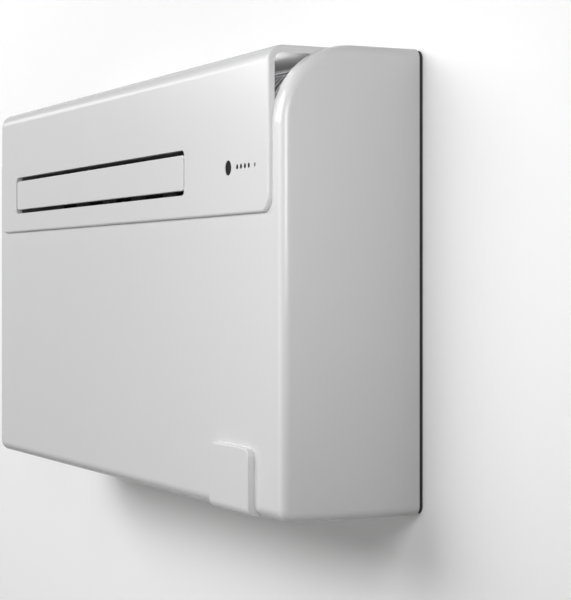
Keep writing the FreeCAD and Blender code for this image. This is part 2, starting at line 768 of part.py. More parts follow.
def corner_tag():
    """Bare rounded tag that wraps the front bottom edge."""
    left = half - d.tag_place - d.tag_width
    right = half - d.tag_place
    front = back(-d.tag_proud)
    block = along_y("tag_block", rectangle((left, right), (up(0), up(d.tag_height))),
                    (front, back(d.bottom_round)))
    round_edges(block, d.tag_corner, at(x=left, z=up(d.tag_height)), at(x=right, z=up(d.tag_height)))
    round_edges(block, d.tag_under, at(y=front, z=up(0)))
    round_edges(block, d.tag_edge, at(y=front, z=up(d.tag_height)))
    return cut("corner_tag", block, doc.getObject("case_outer"))


def arc_band(name, inner, outer, reach, span, low):
    """A strip of the large curve between two radii, over a span from front to rear."""
    centre = (back(d.top_round), up(d.height - d.top_round))
    sleeve = ring(f"{name}_sleeve", "x", (-reach, reach), centre, inner, outer)
    window = box(f"{name}_window", (-reach, reach), span, (up(low), up(hood_under - d.fit_gap)))
    return common(name, sleeve, window)


def grille_slots(name, reach, y, z):
    """A row of slots across a grille, evenly placed about the middle."""
    pitch = d.grille_slot + d.grille_bar
    count = int((reach.value * 2 - d.grille_bar.value) // pitch.value)
    starts = [pitch * (number - count / 2) + d.grille_bar / 2 for number in range(count)]
    return [box(f"{name}_{number}", (start, start + d.grille_slot), y, z)
            for number, start in enumerate(starts)]


def hood_grille():
    """Slotted strip that fills the inlet in the curve under the hood."""
    reach = half - d.grille_margin - d.fit_gap
    low = d.height - d.top_round
    inside = sunk_round - d.wall - d.fit_gap
    strip = arc_band("hood_grille_strip", inside - d.grille_lip, sunk_round, reach,
                     (back(d.hood_slot_front + d.fit_gap), back(d.hood_slot_back - d.fit_gap)), low)
    flange = arc_band("hood_grille_flange", inside - d.grille_lip, inside, reach + d.grille_lip,
                      (back(d.hood_slot_front - d.grille_lip), back(d.hood_slot_back + d.grille_lip)), low)
    whole = fuse("hood_grille_blank", strip, flange)
    slots = grille_slots("hood_grille_slot", reach,
                         (back(d.hood_slot_front + d.grille_lip), back(d.hood_slot_back - d.grille_lip)),
                         (up(low), up(d.height)))
    return cut("hood_grille", whole, *slots)


def top_grille():
    """Slotted strip in the case top behind the hood, with the two filter slots."""
    reach = half - d.grille_margin - d.fit_gap
    front, rear = top_grille_span(d.fit_gap)
    strip = box("top_grille_strip", (-reach, reach), (front, rear),
                (up(inner_top - d.grille_lip), up(d.height)))
    flange = box("top_grille_flange", (-reach - d.grille_lip, reach + d.grille_lip),
                 (front - d.grille_lip, rear + d.grille_lip), (up(inner_top - d.grille_lip), up(inner_top)))
    whole = fuse("top_grille_blank", strip, flange)
    depth = (up(inner_top - d.grille_lip - d.wall), up(d.height + d.wall))
    slots = grille_slots("top_grille_slot", reach,
                         (front + d.grille_edge, back(filter_front - d.grille_edge)), depth)
    ways = [box(f"filter_way_{number}", (left - d.fit_gap, right + d.fit_gap),
                (back(filter_front - d.fit_gap), back(filter_back + d.fit_gap)), depth)
            for number, (left, right) in enumerate(filter_spans())]
    return cut("top_grille", whole, *slots, *ways)


def filter_spans():
    """Left and right ends of the two filters."""
    start = duct_start + d.coil_end_room
    end = duct_end - d.coil_end_room
    middle = (start + end) / 2
    return [(start, middle - d.filter_space / 2), (middle + d.filter_space / 2, end)]


def filters():
    """Two filter frames with cross ribs, each with its mesh let into the frame."""
    low, high = tray_floor + d.filter_float, d.height - d.filter_recess
    mesh_front = filter_front + d.filter_depth / 2 - d.mesh_depth / 2
    for side, (left, right) in zip(("left", "right"), filter_spans()):
        blank = box(f"filter_{side}_blank", (left, right), (back(filter_front), back(filter_back)),
                    (up(low), up(high)))
        step = (right - left - d.filter_border * 2 - d.filter_rib * FILTER_RIBS) / (FILTER_RIBS + 1)
        first = left + d.filter_border
        starts = [first + (step + d.filter_rib) * number for number in range(FILTER_RIBS + 1)]
        pane = (up(low + d.filter_border), up(high - d.filter_border))
        windows = [box(f"filter_{side}_window_{number}", (start, start + step),
                       (back(coil_back), back(panel_front)), pane)
                   for number, start in enumerate(starts)]
        meshes = doc.addObject("Part::Compound", f"filter_{side}_mesh")
        meshes.Links = [box(f"filter_{side}_net_{number}", (start, start + step),
                            (back(mesh_front), back(mesh_front + d.mesh_depth)), pane)
                        for number, start in enumerate(starts)]
        node(f"filter_{side}", cut(f"filter_{side}", blank, *windows))
        node(f"filter_{side}_mesh", meshes)


def flap():
    """Outlet flap with an ear and a pivot pin at each end."""
    left, right = outlet_start + d.flap_end_gap, outlet_end - d.flap_end_gap
    low, high = outlet_middle - flap_height / 2, outlet_middle + flap_height / 2
    front, rear = back(-d.hood_proud), back(d.flap_plate - d.hood_proud)
    plate = along_x("flap_plate", [(front, up(low)), (rear, up(low)), (rear, up(high)), (front, up(high))],
                    (left, right))
    round_edges(plate, d.flap_corner, *(at(x=x, z=up(z)) for x in (left, right) for z in (low, high)))
    round_edges(plate, d.flap_edge, at(y=front))
    middle = up(outlet_middle)
    root, boss = d.flap_root, d.flap_boss
    axis = back(flap_axis)
    ear = [(rear, middle - root), (axis, middle - boss, boss), (axis + boss, middle, boss),
           (axis, middle + boss), (rear, middle + root)]
    solids = [plate]
    for number, (start, end) in enumerate(((left, left + d.flap_ear), (right - d.flap_ear, right))):
        solids.append(along_x(f"flap_ear_{number}", ear, (start, end)))
    pin_reach = d.duct_wall + d.bush_flange
    for number, (start, end) in enumerate(((duct_start - pin_reach, left + d.flap_ear),
                                           (right - d.flap_ear, duct_end + pin_reach))):
        solids.append(rod(f"flap_pin_{number}", "x", (start, end), (axis, middle), d.flap_pin))
    return fuse("flap", *solids)


def bush_radius():
    """Outside of the flap's bush."""
    return d.flap_pin + d.fit_gap + d.bush_wall


def flap_bush():
    """Flanged bush in the duct's left wall."""
    centre = (back(flap_axis), up(outlet_middle))
    neck = rod("flap_bush_neck", "x", (casing_start, duct_start), centre, bush_radius())
    flange = rod("flap_bush_flange", "x", (casing_start - d.bush_flange, casing_start), centre,
                 bush_radius() + d.bush_flange)
    bore = rod("flap_bush_bore", "x", (casing_start - d.duct_wall, duct_end), centre, d.flap_pin + d.fit_gap)
    return cut("flap_bush", fuse("flap_bush_blank", neck, flange), bore)


def flap_motor():
    """Small stepper on the duct's right wall, with a socket for the flap's pin."""
    centre = (back(flap_axis + d.stepper_offset), up(outlet_middle))
    can = rod("flap_motor_can", "x", (casing_end, casing_end + d.stepper_length), centre, d.stepper_radius)
    ear_reach = d.stepper_radius + d.stepper_ear_reach
    ears = box("flap_motor_ears", (casing_end, casing_end + d.bush_flange),
               (centre[0] - d.stepper_ear / 2, centre[0] + d.stepper_ear / 2),
               (centre[1] - ear_reach, centre[1] + ear_reach))
    socket = rod("flap_motor_socket", "x", (casing_end - d.wall, casing_end + d.bush_flange * 2),
                 (back(flap_axis), up(outlet_middle)), d.flap_pin + d.fit_gap)
    clear = box("flap_motor_clear", (casing_end - d.wall, casing_end + d.stepper_length + d.wall),
                (back(0) - d.stepper_radius, back(hood_seat + d.wall + d.fit_gap)),
                (centre[1] - d.stepper_radius * 2, centre[1] + d.stepper_radius * 2))
    return cut("flap_motor", fuse("flap_motor_blank", can, ears), socket, clear)


def vane_places():
    """Places of the vanes' axes along the outlet."""
    step = (duct_end - duct_start) / VANE_COUNT
    return [duct_start + step * (number + 0.5) for number in range(VANE_COUNT)]


def outlet_duct():
    """Four-sided duct from the hood to the fan, with the pivot holes of the flap and the vanes."""
    y = (back(hood_seat), back(fan_front))
    outside = box("duct_outside", (casing_start, casing_end), y,
                  (up(duct_floor - d.duct_wall), up(duct_ceiling + d.duct_wall)))
    inside = box("duct_inside", (duct_start, duct_end), (back(hood_seat - d.wall), back(fan_front + d.wall)),
                 (up(duct_floor), up(duct_ceiling)))
    centre = (back(flap_axis), up(outlet_middle))
    left = rod("duct_bush_hole", "x", (casing_start - d.wall, duct_start + d.wall), centre,
               bush_radius() + d.lens_gap)
    right = rod("duct_pin_hole", "x", (duct_end - d.wall, casing_end + d.wall), centre,
                d.flap_pin + d.fit_gap * 2)
    through = (up(duct_floor - d.duct_wall * 2), up(duct_ceiling + d.duct_wall * 2))
    pivots = [rod(f"duct_vane_hole_{number}", "z", through, (x, back(vane_axis)), d.vane_pin + d.fit_gap)
              for number, x in enumerate(vane_places())]
    return cut("outlet_duct", outside, inside, left, right, *pivots)


def vane(number, x):
    """An upright air vane with its pivot pins and the pin that the link bar takes along."""
    low, high = duct_floor + d.vane_lift, duct_ceiling - d.vane_top_room
    front, rear = vane_front, vane_front + d.vane_chord
    name = f"vane_{number}"
    plate = along_z(f"{name}_plate", [
        (x, back(front)), (x + d.vane_plate / 2, back(vane_axis)), (x + d.vane_plate / 2, back(rear)),
        (x - d.vane_plate / 2, back(rear)), (x - d.vane_plate / 2, back(vane_axis))], (up(low), up(high)))
    pivot = rod(f"{name}_pivot", "z", (up(duct_floor - d.duct_wall), up(duct_ceiling + d.duct_wall)),
                (x, back(vane_axis)), d.vane_pin)
    link = rod(f"{name}_link_pin", "z", (up(duct_floor + d.link_float * 2), up(low + d.link_plate)),
               (x, back(vane_axis + d.link_throw)), d.link_pin)
    return fuse(name, plate, pivot, link)


def vane_link():
    """Bar with a slot for each vane's link pin."""
    places = vane_places()
    middle = vane_axis + d.link_throw
    low = duct_floor + d.link_float
    z = (up(low), up(low + d.link_plate))
    bar = box("vane_link_bar", (places[0] - d.link_end, places[-1] + d.link_end),
              (back(middle - d.link_width / 2), back(middle + d.link_width / 2)), z)
    side = d.link_pin + d.link_slot_side
    slots = [box(f"vane_link_slot_{number}", (x - side, x + side),
                 (back(middle - d.link_pin - d.link_slot_ahead),
                  back(middle + d.link_pin + d.link_slot_behind)),
                 (z[0] - d.link_plate, z[1] + d.link_plate)) for number, x in enumerate(places)]
    return cut("vane_link", bar, *slots)


def crossflow_fan():
    """Drum of curved blades between discs, with a stub shaft at each end."""
    start, end = duct_start + d.fan_end_room, duct_end - d.fan_end_room
    lean = math.radians(BLADE_LEAN)
    thick = d.blade_plate / 2
    inner_y, inner_z = d.fan_hub_radius * math.cos(lean), d.fan_hub_radius * math.sin(lean)
    tip = d.fan_radius - d.blade_plate
    body = prism("fan_blades", "YZ_Plane", [
        (inner_y, inner_z - thick, d.blade_curve + thick), (tip, -thick),
        (tip, thick, thick - d.blade_curve), (inner_y, inner_z + thick)], (start, end))
    pattern = body.newObject("PartDesign::PolarPattern", "fan_blade_ring")
    pattern.Originals = [body.Tip]
    pattern.Axis = (origin_feature(body, "X_Axis"), [""])
    pattern.Angle = FULL_TURN
    pattern.Occurrences = BLADE_COUNT
    body.Tip = pattern
    bind(body, "Placement.Base.y", back(fan_axis))
    bind(body, "Placement.Base.z", up(fan_height))
    centre = (back(fan_axis), up(fan_height))
    step = (end - start - d.disc_plate) / (FAN_DISCS - 1)
    discs = [rod(f"fan_disc_{number}", "x", (start + step * number, start + step * number + d.disc_plate),
                 centre, d.fan_radius) for number in range(FAN_DISCS)]
    bearing_end = casing_start - d.bearing_length
    stubs = [rod("fan_stub_left", "x", (bearing_end, start + d.disc_plate), centre, d.fan_stub),
             rod("fan_stub_right", "x", (end - d.disc_plate, casing_end + d.bearing_length), centre,
                 d.fan_stub)]
    return fuse("crossflow_fan", body, *discs, *stubs)


def scroll_casing():
    """Casing under and behind the fan, with the end plates that carry its motor and bearing."""
    outer = d.fan_radius + d.scroll_gap + d.scroll_wall
    inner = d.fan_radius + d.scroll_gap
    end_turn = math.radians(SCROLL_END)

    def rim(radius):
        return (back(fan_axis + radius * math.cos(end_turn)), up(fan_height - radius * math.sin(end_turn)))

    wrap = along_x("casing_wrap", [
        (back(fan_front), up(fan_height - inner)), (back(fan_front), up(fan_height - outer)),
        (back(fan_axis), up(fan_height - outer), outer), rim(outer), (*rim(inner), -inner),
        (back(fan_axis), up(fan_height - inner))], (casing_start, casing_end))
    plates = []
    for number, (start, end) in enumerate(((casing_start, duct_start), (duct_end, casing_end))):
        plates.append(along_x(f"casing_plate_{number}", [
            (back(fan_front), up(partition_top)), (back(coil_front - d.tray_margin * 2), up(partition_top)),
            rim(outer), (back(coil_front - d.coil_room), up(fan_height + d.fan_radius / 2)),
            (back(fan_axis), up(fan_height + d.fan_radius + d.casing_top_room)),
            (back(fan_front), up(fan_height + d.fan_radius + d.casing_top_room))], (start, end)))
    bore = rod("casing_bore", "x", (casing_start - d.wall, casing_end + d.wall),
               (back(fan_axis), up(fan_height)), d.fan_stub + d.scroll_wall)
    return cut("scroll_casing", fuse("casing_blank", wrap, *plates), bore)


def fan_bearing():
    """Bearing block on the casing's left plate."""
    return ring("fan_bearing", "x", (casing_start - d.bearing_length, casing_start),
                (back(fan_axis), up(fan_height)), d.fan_stub + d.fit_gap, d.fan_stub + d.bearing_wall)


def fan_motor():
    """Room fan motor on the casing's right plate, with a bore for the fan's stub."""
    centre = (back(fan_axis), up(fan_height))
    can = rod("fan_motor_can", "x", (casing_end, casing_end + d.motor_length), centre, d.motor_radius)
    can_end = casing_end + d.motor_length
    nose = rod("fan_motor_nose", "x", (can_end, can_end + d.wall * 2), centre, d.motor_radius / 2)
    bore = rod("fan_motor_bore", "x", (casing_end - d.wall, casing_end + d.bearing_length + d.fit_gap),
               centre, d.fan_stub + d.fit_gap)
    return cut("fan_motor", fuse("fan_motor_blank", can, nose), bore)


def motor_clamp():
    """Cradle that stands on the partition under the motor."""
    start = casing_end + (d.motor_length - d.clamp_width) / 2
    block = box("clamp_block", (start, start + d.clamp_width),
                (back(fan_axis - d.clamp_depth / 2), back(fan_axis + d.clamp_depth / 2)),
                (up(partition_top), up(fan_height - d.motor_radius / 2)))
    seat = rod("clamp_seat", "x", (start - d.wall, start + d.clamp_width + d.wall),
               (back(fan_axis), up(fan_height)), d.motor_radius + d.fit_gap)
    return cut("motor_clamp", block, seat)


def finned_block(name, x, y, z):
    """A coil's block with upright grooves between its fins on both broad faces."""
    block = box(f"{name}_block", x, y, z)
    count = int((x[1] - x[0] - d.fin_groove).value // d.fin_pitch.value)
    first = (x[0] + x[1]) / 2 - d.fin_pitch * (count - 1) / 2 - d.fin_groove / 2
    grooves = []
    for number in range(count):
        start = first + d.fin_pitch * number
        for side, face in zip(("front", "rear"), y):
            grooves.append(box(f"{name}_{side}_{number}", (start, start + d.fin_groove),
                               (face - d.fin_cut, face + d.fin_cut), (z[0] - d.fin_cut, z[1] + d.fin_cut)))
    return cut(name, block, *grooves)


def return_bends(name, x, y, levels, rows):
    """Half-round return bends for a coil's left end, one above the other."""
    low, high = levels
    step = (high - low) / rows
    turns = []
    for number in range(rows):
        middle = low + step * (number + 0.5)
        torus = doc.addObject("Part::Torus", f"{name}_{number}")
        bind(torus, "Radius1", d.bend_radius)
        bind(torus, "Radius2", d.bend_tube)
        torus.Placement = FreeCAD.Placement(Vector(), FreeCAD.Rotation(Vector(1, 0, 0), 90))
        for axis, place in (("x", x), ("y", y), ("z", middle)):
            bind(torus, f"Placement.Base.{axis}", place)
        reach = d.bend_radius + d.bend_tube
        side = box(f"{name}_side_{number}", (x - reach, x), (y - d.bend_tube, y + d.bend_tube),
                   (middle - reach, middle + reach))
        turns.append(common(f"{name}_half_{number}", torus, side))
    return turns


def coil_span():
    """Left and right ends of the cooling coil."""
    return (duct_start + d.coil_end_room, duct_end - d.coil_end_room)


def room_coil():
    """Cooling coil, its return bends and the tray that catches its water."""
    start, end = coil_span()
    z = (up(tray_floor), up(tray_floor + d.coil_height))
    y = (back(coil_front), back(coil_back))
    block = finned_block("room_block", (start, end), y, z)
    bends = return_bends("room_bend", start, back(coil_middle()), (z[0] + d.tray_height, z[1]), COIL_ROWS)
    node("evaporator_coil", fuse("evaporator_coil", block, *bends))
    margin = d.tray_margin
    outside = box("tray_outside", (casing_start, casing_end),
                  (back(coil_front - margin), back(filter_back + margin)),
                  (up(partition_top), up(partition_top + d.tray_height)))
    inside = box("tray_inside", (casing_start + d.tray_wall, casing_end - d.tray_wall),
                 (back(coil_front - margin + d.tray_wall), back(filter_back + margin - d.tray_wall)),
                 (up(tray_floor), up(partition_top + d.tray_height * 2)))
    node("drip_tray", cut("drip_tray", outside, inside))


def partition():
    """Plate between the room air above and the outdoor air below, with the two pipe holes."""
    reach = inner_half - d.fit_gap
    front = back(d.wall + d.fit_gap)
    plate = along_z("partition_plate", rectangle((-reach, reach), (front, back(panel_front))),
                    (up(partition_under), up(partition_top)))
    round_edges(plate, d.side_round, at(x=-reach, y=front), at(x=reach, y=front))
    z = (up(partition_under - d.wall), up(partition_top + d.wall))
    cold = rod("partition_cold_hole", "z", z, (accumulator_x, back(coil_middle())),
               d.pipe_radius + d.pipe_hole)
    liquid = rod("partition_liquid_hole", "z", z, (liquid_x(), back(coil_middle())),
                 d.liquid_radius + d.pipe_hole)
    return cut("partition", plate, cold, liquid)


def coil_middle():
    """Middle of the cooling coil behind the case front."""
    return (coil_front + coil_back) / 2


def liquid_x():
    """Place of the liquid pipe's rise beside the cooling coil."""
    return casing_end + d.pipe_radius * 2


def back_panel():
    """Steel back with the duct, hook, cord and drain openings."""
    reach = inner_half - d.fit_gap
    low, high = d.wall + d.fit_gap, inner_top - d.fit_gap
    sheet_body = along_y("panel_sheet", rectangle((-reach, reach), (up(low), up(high))),
                         (back(panel_front), back(case_back)))
    round_edges(sheet_body, d.side_round - d.wall,
                *(at(x=x, z=up(z)) for x in (-reach, reach) for z in (low, high)))
    through = (back(panel_front - d.wall), back(case_back + d.wall))
    holes = [rod(f"panel_duct_{number}", "y", through, (x, up(d.duct_height)),
                 d.duct_bore + d.collar_wall + d.fit_gap)
             for number, x in enumerate((-exhaust_x, exhaust_x))]
    slot_half = d.hook_width / 2 + d.hook_room
    slot_rise = (hook_top() - d.hook_plate - d.hook_lip - d.hook_room, hook_top())
    slots = [box(f"panel_hook_{number}", (x - slot_half, x + slot_half), through, slot_rise)
             for number, x in enumerate((-d.hook_place, d.hook_place))]
    gland = rod("panel_gland", "y", through, gland_place(), d.gland_radius + d.fit_gap)
    drain = rod("panel_drain", "y", through, drain_place(), d.drain_neck + d.fit_gap)
    return cut("back_panel", sheet_body, *holes, *slots, gland, drain)


def hook_top():
    """Top of the hooks' tabs, on which the back panel hangs."""
    return d.bolt_up / 2 + d.bracket_edge / 2


def wall_bracket():
    """Wall plate with four bolt holes and two upturned hooks."""
    across, upright = d.bolt_across / 2 + d.bracket_edge, d.bolt_up / 2 + d.bracket_edge
    face = -d.bracket_plate
    plate = along_y("bracket_plate", rectangle((-across, across), (-upright, upright)), (face, as_size(0)))
    round_edges(plate, d.bracket_edge / 2,
                *(at(x=x, z=z) for x in (-across, across) for z in (-upright, upright)))
    top, tip = hook_top(), hook_top() + d.hook_lip
    lip = back(panel_front - d.hook_reach)
    lip_back = lip + d.hook_plate
    under = top - d.hook_plate
    profile = [(face, under), (face, top), (lip_back, top), (lip_back, tip), (lip, tip), (lip, under)]
    hooks = [along_x(f"bracket_hook_{number}", profile, (x - d.hook_width / 2, x + d.hook_width / 2))
             for number, x in enumerate((-d.hook_place, d.hook_place))]
    bolts = [rod(f"bracket_bolt_{x}_{z}", "y", (face - d.wall, d.wall),
                 (d.bolt_across / 2 * x, d.bolt_up / 2 * z), d.bolt_radius)
             for x in (-1, 1) for z in (-1, 1)]
    return cut("wall_bracket", fuse("bracket_blank", plate, *hooks), *bolts)


def rear_gasket():
    """Soft ring between the case and the wall."""
    rings = []
    for name, inset in (("gasket_outside", d.seal_inset), ("gasket_inside", d.seal_inset + d.seal_width)):
        reach, low, high = half - inset, inset, d.height - inset
        body = along_y(name, rectangle((-reach, reach), (up(low), up(high))),
                       (back(case_back), back(wall_plane)))
        round_edges(body, d.side_round - d.seal_inset,
                    *(at(x=x, z=up(z)) for x in (-reach, reach) for z in (low, high)))
        rings.append(body)
    return cut("rear_gasket", *rings)


def duct_collar(name, x):
    """Flanged collar through the back panel that a wall duct plugs into."""
    centre = (x, up(d.duct_height))
    outer = d.duct_bore + d.collar_wall
    tube = rod(f"{name}_tube", "y", (back(panel_front - d.collar_depth), back(wall_plane)), centre, outer)
    flange = rod(f"{name}_flange", "y", (back(panel_front - d.collar_flange_plate), back(panel_front)),
                 centre, outer + d.collar_flange)
    bore = rod(f"{name}_bore", "y", (back(chamber_middle), back(wall_plane + d.wall)), centre, d.duct_bore)
    return cut(name, fuse(f"{name}_blank", tube, flange), bore)


def shroud_stations():
    """Front and rear of the exhaust fan's ring."""
    rear = panel_front - d.collar_depth
    return rear - d.shroud_length, rear


def fan_shroud():
    """Ring in front of the exhaust collar, round the fan."""
    front, rear = shroud_stations()
    return ring("fan_shroud", "y", (back(front), back(rear)), (exhaust_x, up(d.duct_height)),
                d.duct_bore - d.shroud_step, shroud_radius)


def bracket_front():
    """Front of the exhaust motor's bracket behind the case front."""
    return shroud_stations()[0] - d.arm_plate


def motor_bracket():
    """Flat spider on the ring's front edge that carries the exhaust motor."""
    centre = (exhaust_x, up(d.duct_height))
    span = (back(bracket_front()), back(bracket_front() + d.arm_plate))
    hub = rod("bracket_hub", "y", span, centre, d.blower_motor_radius)
    arms = []
    for number in range(BRACKET_ARMS):
        arm = doc.addObject("Part::Box", f"bracket_arm_{number}")
        bind(arm, "Length", d.arm_width)
        bind(arm, "Width", d.arm_plate)
        bind(arm, "Height", shroud_radius)
        turn = FreeCAD.Rotation(Vector(0, 1, 0), FULL_TURN / BRACKET_ARMS * number)
        side = turn.multVec(Vector(-0.5, 0, 0))
        arm.Placement = FreeCAD.Placement(Vector(), turn)
        bind(arm, "Placement.Base.x", exhaust_x + d.arm_width * side.x)
        bind(arm, "Placement.Base.y", span[0])
        bind(arm, "Placement.Base.z", centre[1] + d.arm_width * side.z)
        arms.append(arm)
    outside = rod("bracket_outside", "y", span, centre, shroud_radius)
    bore = rod("bracket_bore", "y", (span[0] - d.wall, span[1] + d.wall), centre, d.blower_shaft + d.wall)
    star = common("bracket_star", fuse("bracket_arms", hub, *arms), outside)
    return cut("motor_bracket", star, bore)


def exhaust_motor():
    """Exhaust motor in front of its bracket, its shaft reaching back to the fan."""
    front = bracket_front()
    centre = (exhaust_x, up(d.duct_height))
    can = rod("exhaust_motor_can", "y", (back(front - d.blower_motor_length), back(front)), centre,
              d.blower_motor_radius)
    shaft = rod("exhaust_motor_shaft", "y", (back(front), back(blower_front() + d.blower_depth)), centre,
                d.blower_shaft)
    return fuse("exhaust_motor", can, shaft)


def blower_front():
    """Front of the exhaust fan behind the case front."""
    return shroud_stations()[0] + d.blower_room


def exhaust_fan():
    """Axial fan with twisted blades on a bored hub."""
    front = blower_front()
    depth = d.blower_depth.value
    tip = (d.duct_bore - d.shroud_step - d.blower_tip_gap).value
    hub_radius = d.blower_hub.value
    hub = Part.makeCylinder(hub_radius, depth, Vector(), Vector(0, 1, 0))
    bore = Part.makeCylinder((d.blower_shaft + d.fit_gap).value, depth, Vector(), Vector(0, 1, 0))
    blades = []
    for number in range(BLOWER_BLADES):
        root = blade_section(hub_radius - d.blower_blade.value, depth, BLOWER_ROOT_TWIST)
        blade = Part.makeLoft([root, blade_section(tip, depth, BLOWER_TIP_TWIST)], True, True)
        blade.rotate(Vector(), Vector(0, 1, 0), FULL_TURN / BLOWER_BLADES * number)
        blades.append(blade)
    fan = doc.addObject("Part::Feature", "exhaust_fan")
    fan.Shape = hub.multiFuse(blades).cut(bore).removeSplitter()
    fan.Placement = FreeCAD.Placement(Vector(exhaust_x.value, back(front).value, up(d.duct_height).value),
                                      FreeCAD.Rotation())
    return fan


def blade_section(radius, depth, twist):
    """A slanted slat at one radius of the exhaust fan, turned from the axis by its twist."""
    lean = math.radians(twist)
    along = Vector(math.sin(lean), math.cos(lean), 0)
    across = Vector(math.cos(lean), -math.sin(lean), 0) * (d.blower_blade.value / 2)
    length = (depth - d.blower_inset.value * 2) / math.cos(lean)
    middle = Vector(0, depth / 2, radius)
    ends = [middle - along * (length / 2), middle + along * (length / 2)]
    corners = [ends[0] - across, ends[1] - across, ends[1] + across, ends[0] + across]
    return Part.makePolygon(corners + corners[:1])


def base_pan():
    """Steel tray on the case bottom, with the screw holes."""
    reach = half - d.side_round - d.pan_room
    front, rear = d.bottom_round + d.pan_room, panel_front
    rim = drain_place()[1] + d.drain_neck + d.pan_rim
    outside = box("pan_outside", (-reach, reach), (back(front), back(rear)), (up(d.wall), rim))
    inside = box("pan_inside", (-reach + d.pan_plate, reach - d.pan_plate),
                 (back(front + d.pan_plate), back(rear - d.pan_plate)), (up(pan_top), rim + d.pan_rim))
    holes = [rod(f"pan_screw_{number}", "z", (up(0), up(pan_top + d.wall)), place,
                 d.screw_radius + d.lens_gap)
             for number, place in enumerate(screw_places())]
    drain = rod("pan_drain", "y", (back(rear - d.pan_plate - d.wall), back(rear + d.wall)), drain_place(),
                d.drain_bore)
    return cut("base_pan", outside, inside, *holes, drain)


def drain_place():
    """Middle of the drain spout on the back."""
    return (-d.drain_place, up(d.seal_inset + d.seal_width + d.fit_gap + d.drain_neck))


def drain_spout():
    """Hose spout from the pan's rear rim through the back panel into the wall."""
    neck = rod("drain_neck_tube", "y", (back(panel_front), as_size(0)), drain_place(), d.drain_neck)
    spigot = rod("drain_spigot", "y", (as_size(0), d.drain_length), drain_place(), d.drain_radius)
    bore = rod("drain_bore_hole", "y", (back(panel_front - d.wall), d.drain_length + d.wall), drain_place(),
               d.drain_bore)
    return cut("drain_spout", fuse("drain_blank", neck, spigot), bore)


def condenser():
    """Outdoor coil along the front of the lower chamber, with its return bends."""
    x = (condenser_start, condenser_end)
    y = (back(d.condenser_set), back(d.condenser_set + d.condenser_depth))
    z = (up(pan_top), up(partition_under - d.condenser_head))
    block = finned_block("outdoor_block", x, y, z)
    bends = return_bends("outdoor_bend", x[0], (y[0] + y[1]) / 2, z, CONDENSER_ROWS)
    node("condenser_coil", fuse("condenser_coil", block, *bends))


def air_divider():
    """Upright plate between the incoming and the outgoing outdoor air."""
    rear = panel_front - d.collar_flange_plate - d.pan_plate
    return box("air_divider", (condenser_end, divider_x), (back(d.condenser_set), back(rear)),
               (up(pan_top), up(partition_under)))


def compressor():
    """Domed can on a three-cornered foot with an outlet stub."""
    centre = (compressor_x, back(chamber_middle))
    foot_low = pan_top + d.grommet_height
    can_low = foot_low + d.foot_plate
    can_high = can_low + d.compressor_length
    dome, radius = d.compressor_dome, d.compressor_radius
    body = turned("compressor_can", can_outline(radius, dome, can_low, can_high), centre)
    stub = rod("compressor_stub", "z", (up(can_high - d.wall), up(can_high + d.stub_length)), centre,
               d.pipe_radius + d.wall)
    foot = (up(foot_low), up(can_low))
    disc = rod("compressor_foot_disc", "z", foot, centre, radius)
    pads = [rod(f"compressor_pad_{number}", "z", foot, place, d.grommet_radius)
            for number, place in enumerate(grommet_places())]
    return fuse("compressor", body, stub, disc, *pads)


def can_outline(radius, dome, low, high):
    """Half section of a closed can with rounded ends."""
    return [(0, low), (radius - dome, low, dome), (radius, low + dome), (radius, high - dome, dome),
            (radius - dome, high), (0, high)]


def grommet_places():
    """Middles of the three rubber feet."""
    reach = d.compressor_radius + d.foot_reach - d.grommet_radius
    turns = [math.radians(FIRST_FOOT + FULL_TURN / FOOT_COUNT * number) for number in range(FOOT_COUNT)]
    return [(compressor_x + reach * math.cos(turn), back(chamber_middle) + reach * math.sin(turn))
            for turn in turns]


def compressor_grommets():
    """Three rubber feet between the pan and the compressor."""
    group = doc.addObject("Part::Compound", "compressor_grommets")
    group.Links = [rod(f"grommet_{number}", "z", (up(pan_top), up(pan_top + d.grommet_height)), place,
                       d.grommet_radius)
                   for number, place in enumerate(grommet_places())]
    return group


def accumulator():
    """Small tank beside the compressor, with its tube into the compressor's side."""
    low = pan_top + d.accumulator_lift
    high = low + d.accumulator_length
    centre = (accumulator_x, back(chamber_middle))
    body = turned("accumulator_can", can_outline(d.accumulator_radius, d.accumulator_dome, low, high), centre)
    elbow = up(low - d.accumulator_drop)
    side = compressor_x - d.compressor_radius - d.fit_gap
    route = [(*centre, up(low + d.wall)), (*centre, elbow), (side, centre[1], elbow)]
    tube = pipe("accumulator_elbow", route, d.accumulator_tube, d.pipe_bend)
    return fuse("accumulator", body, tube)


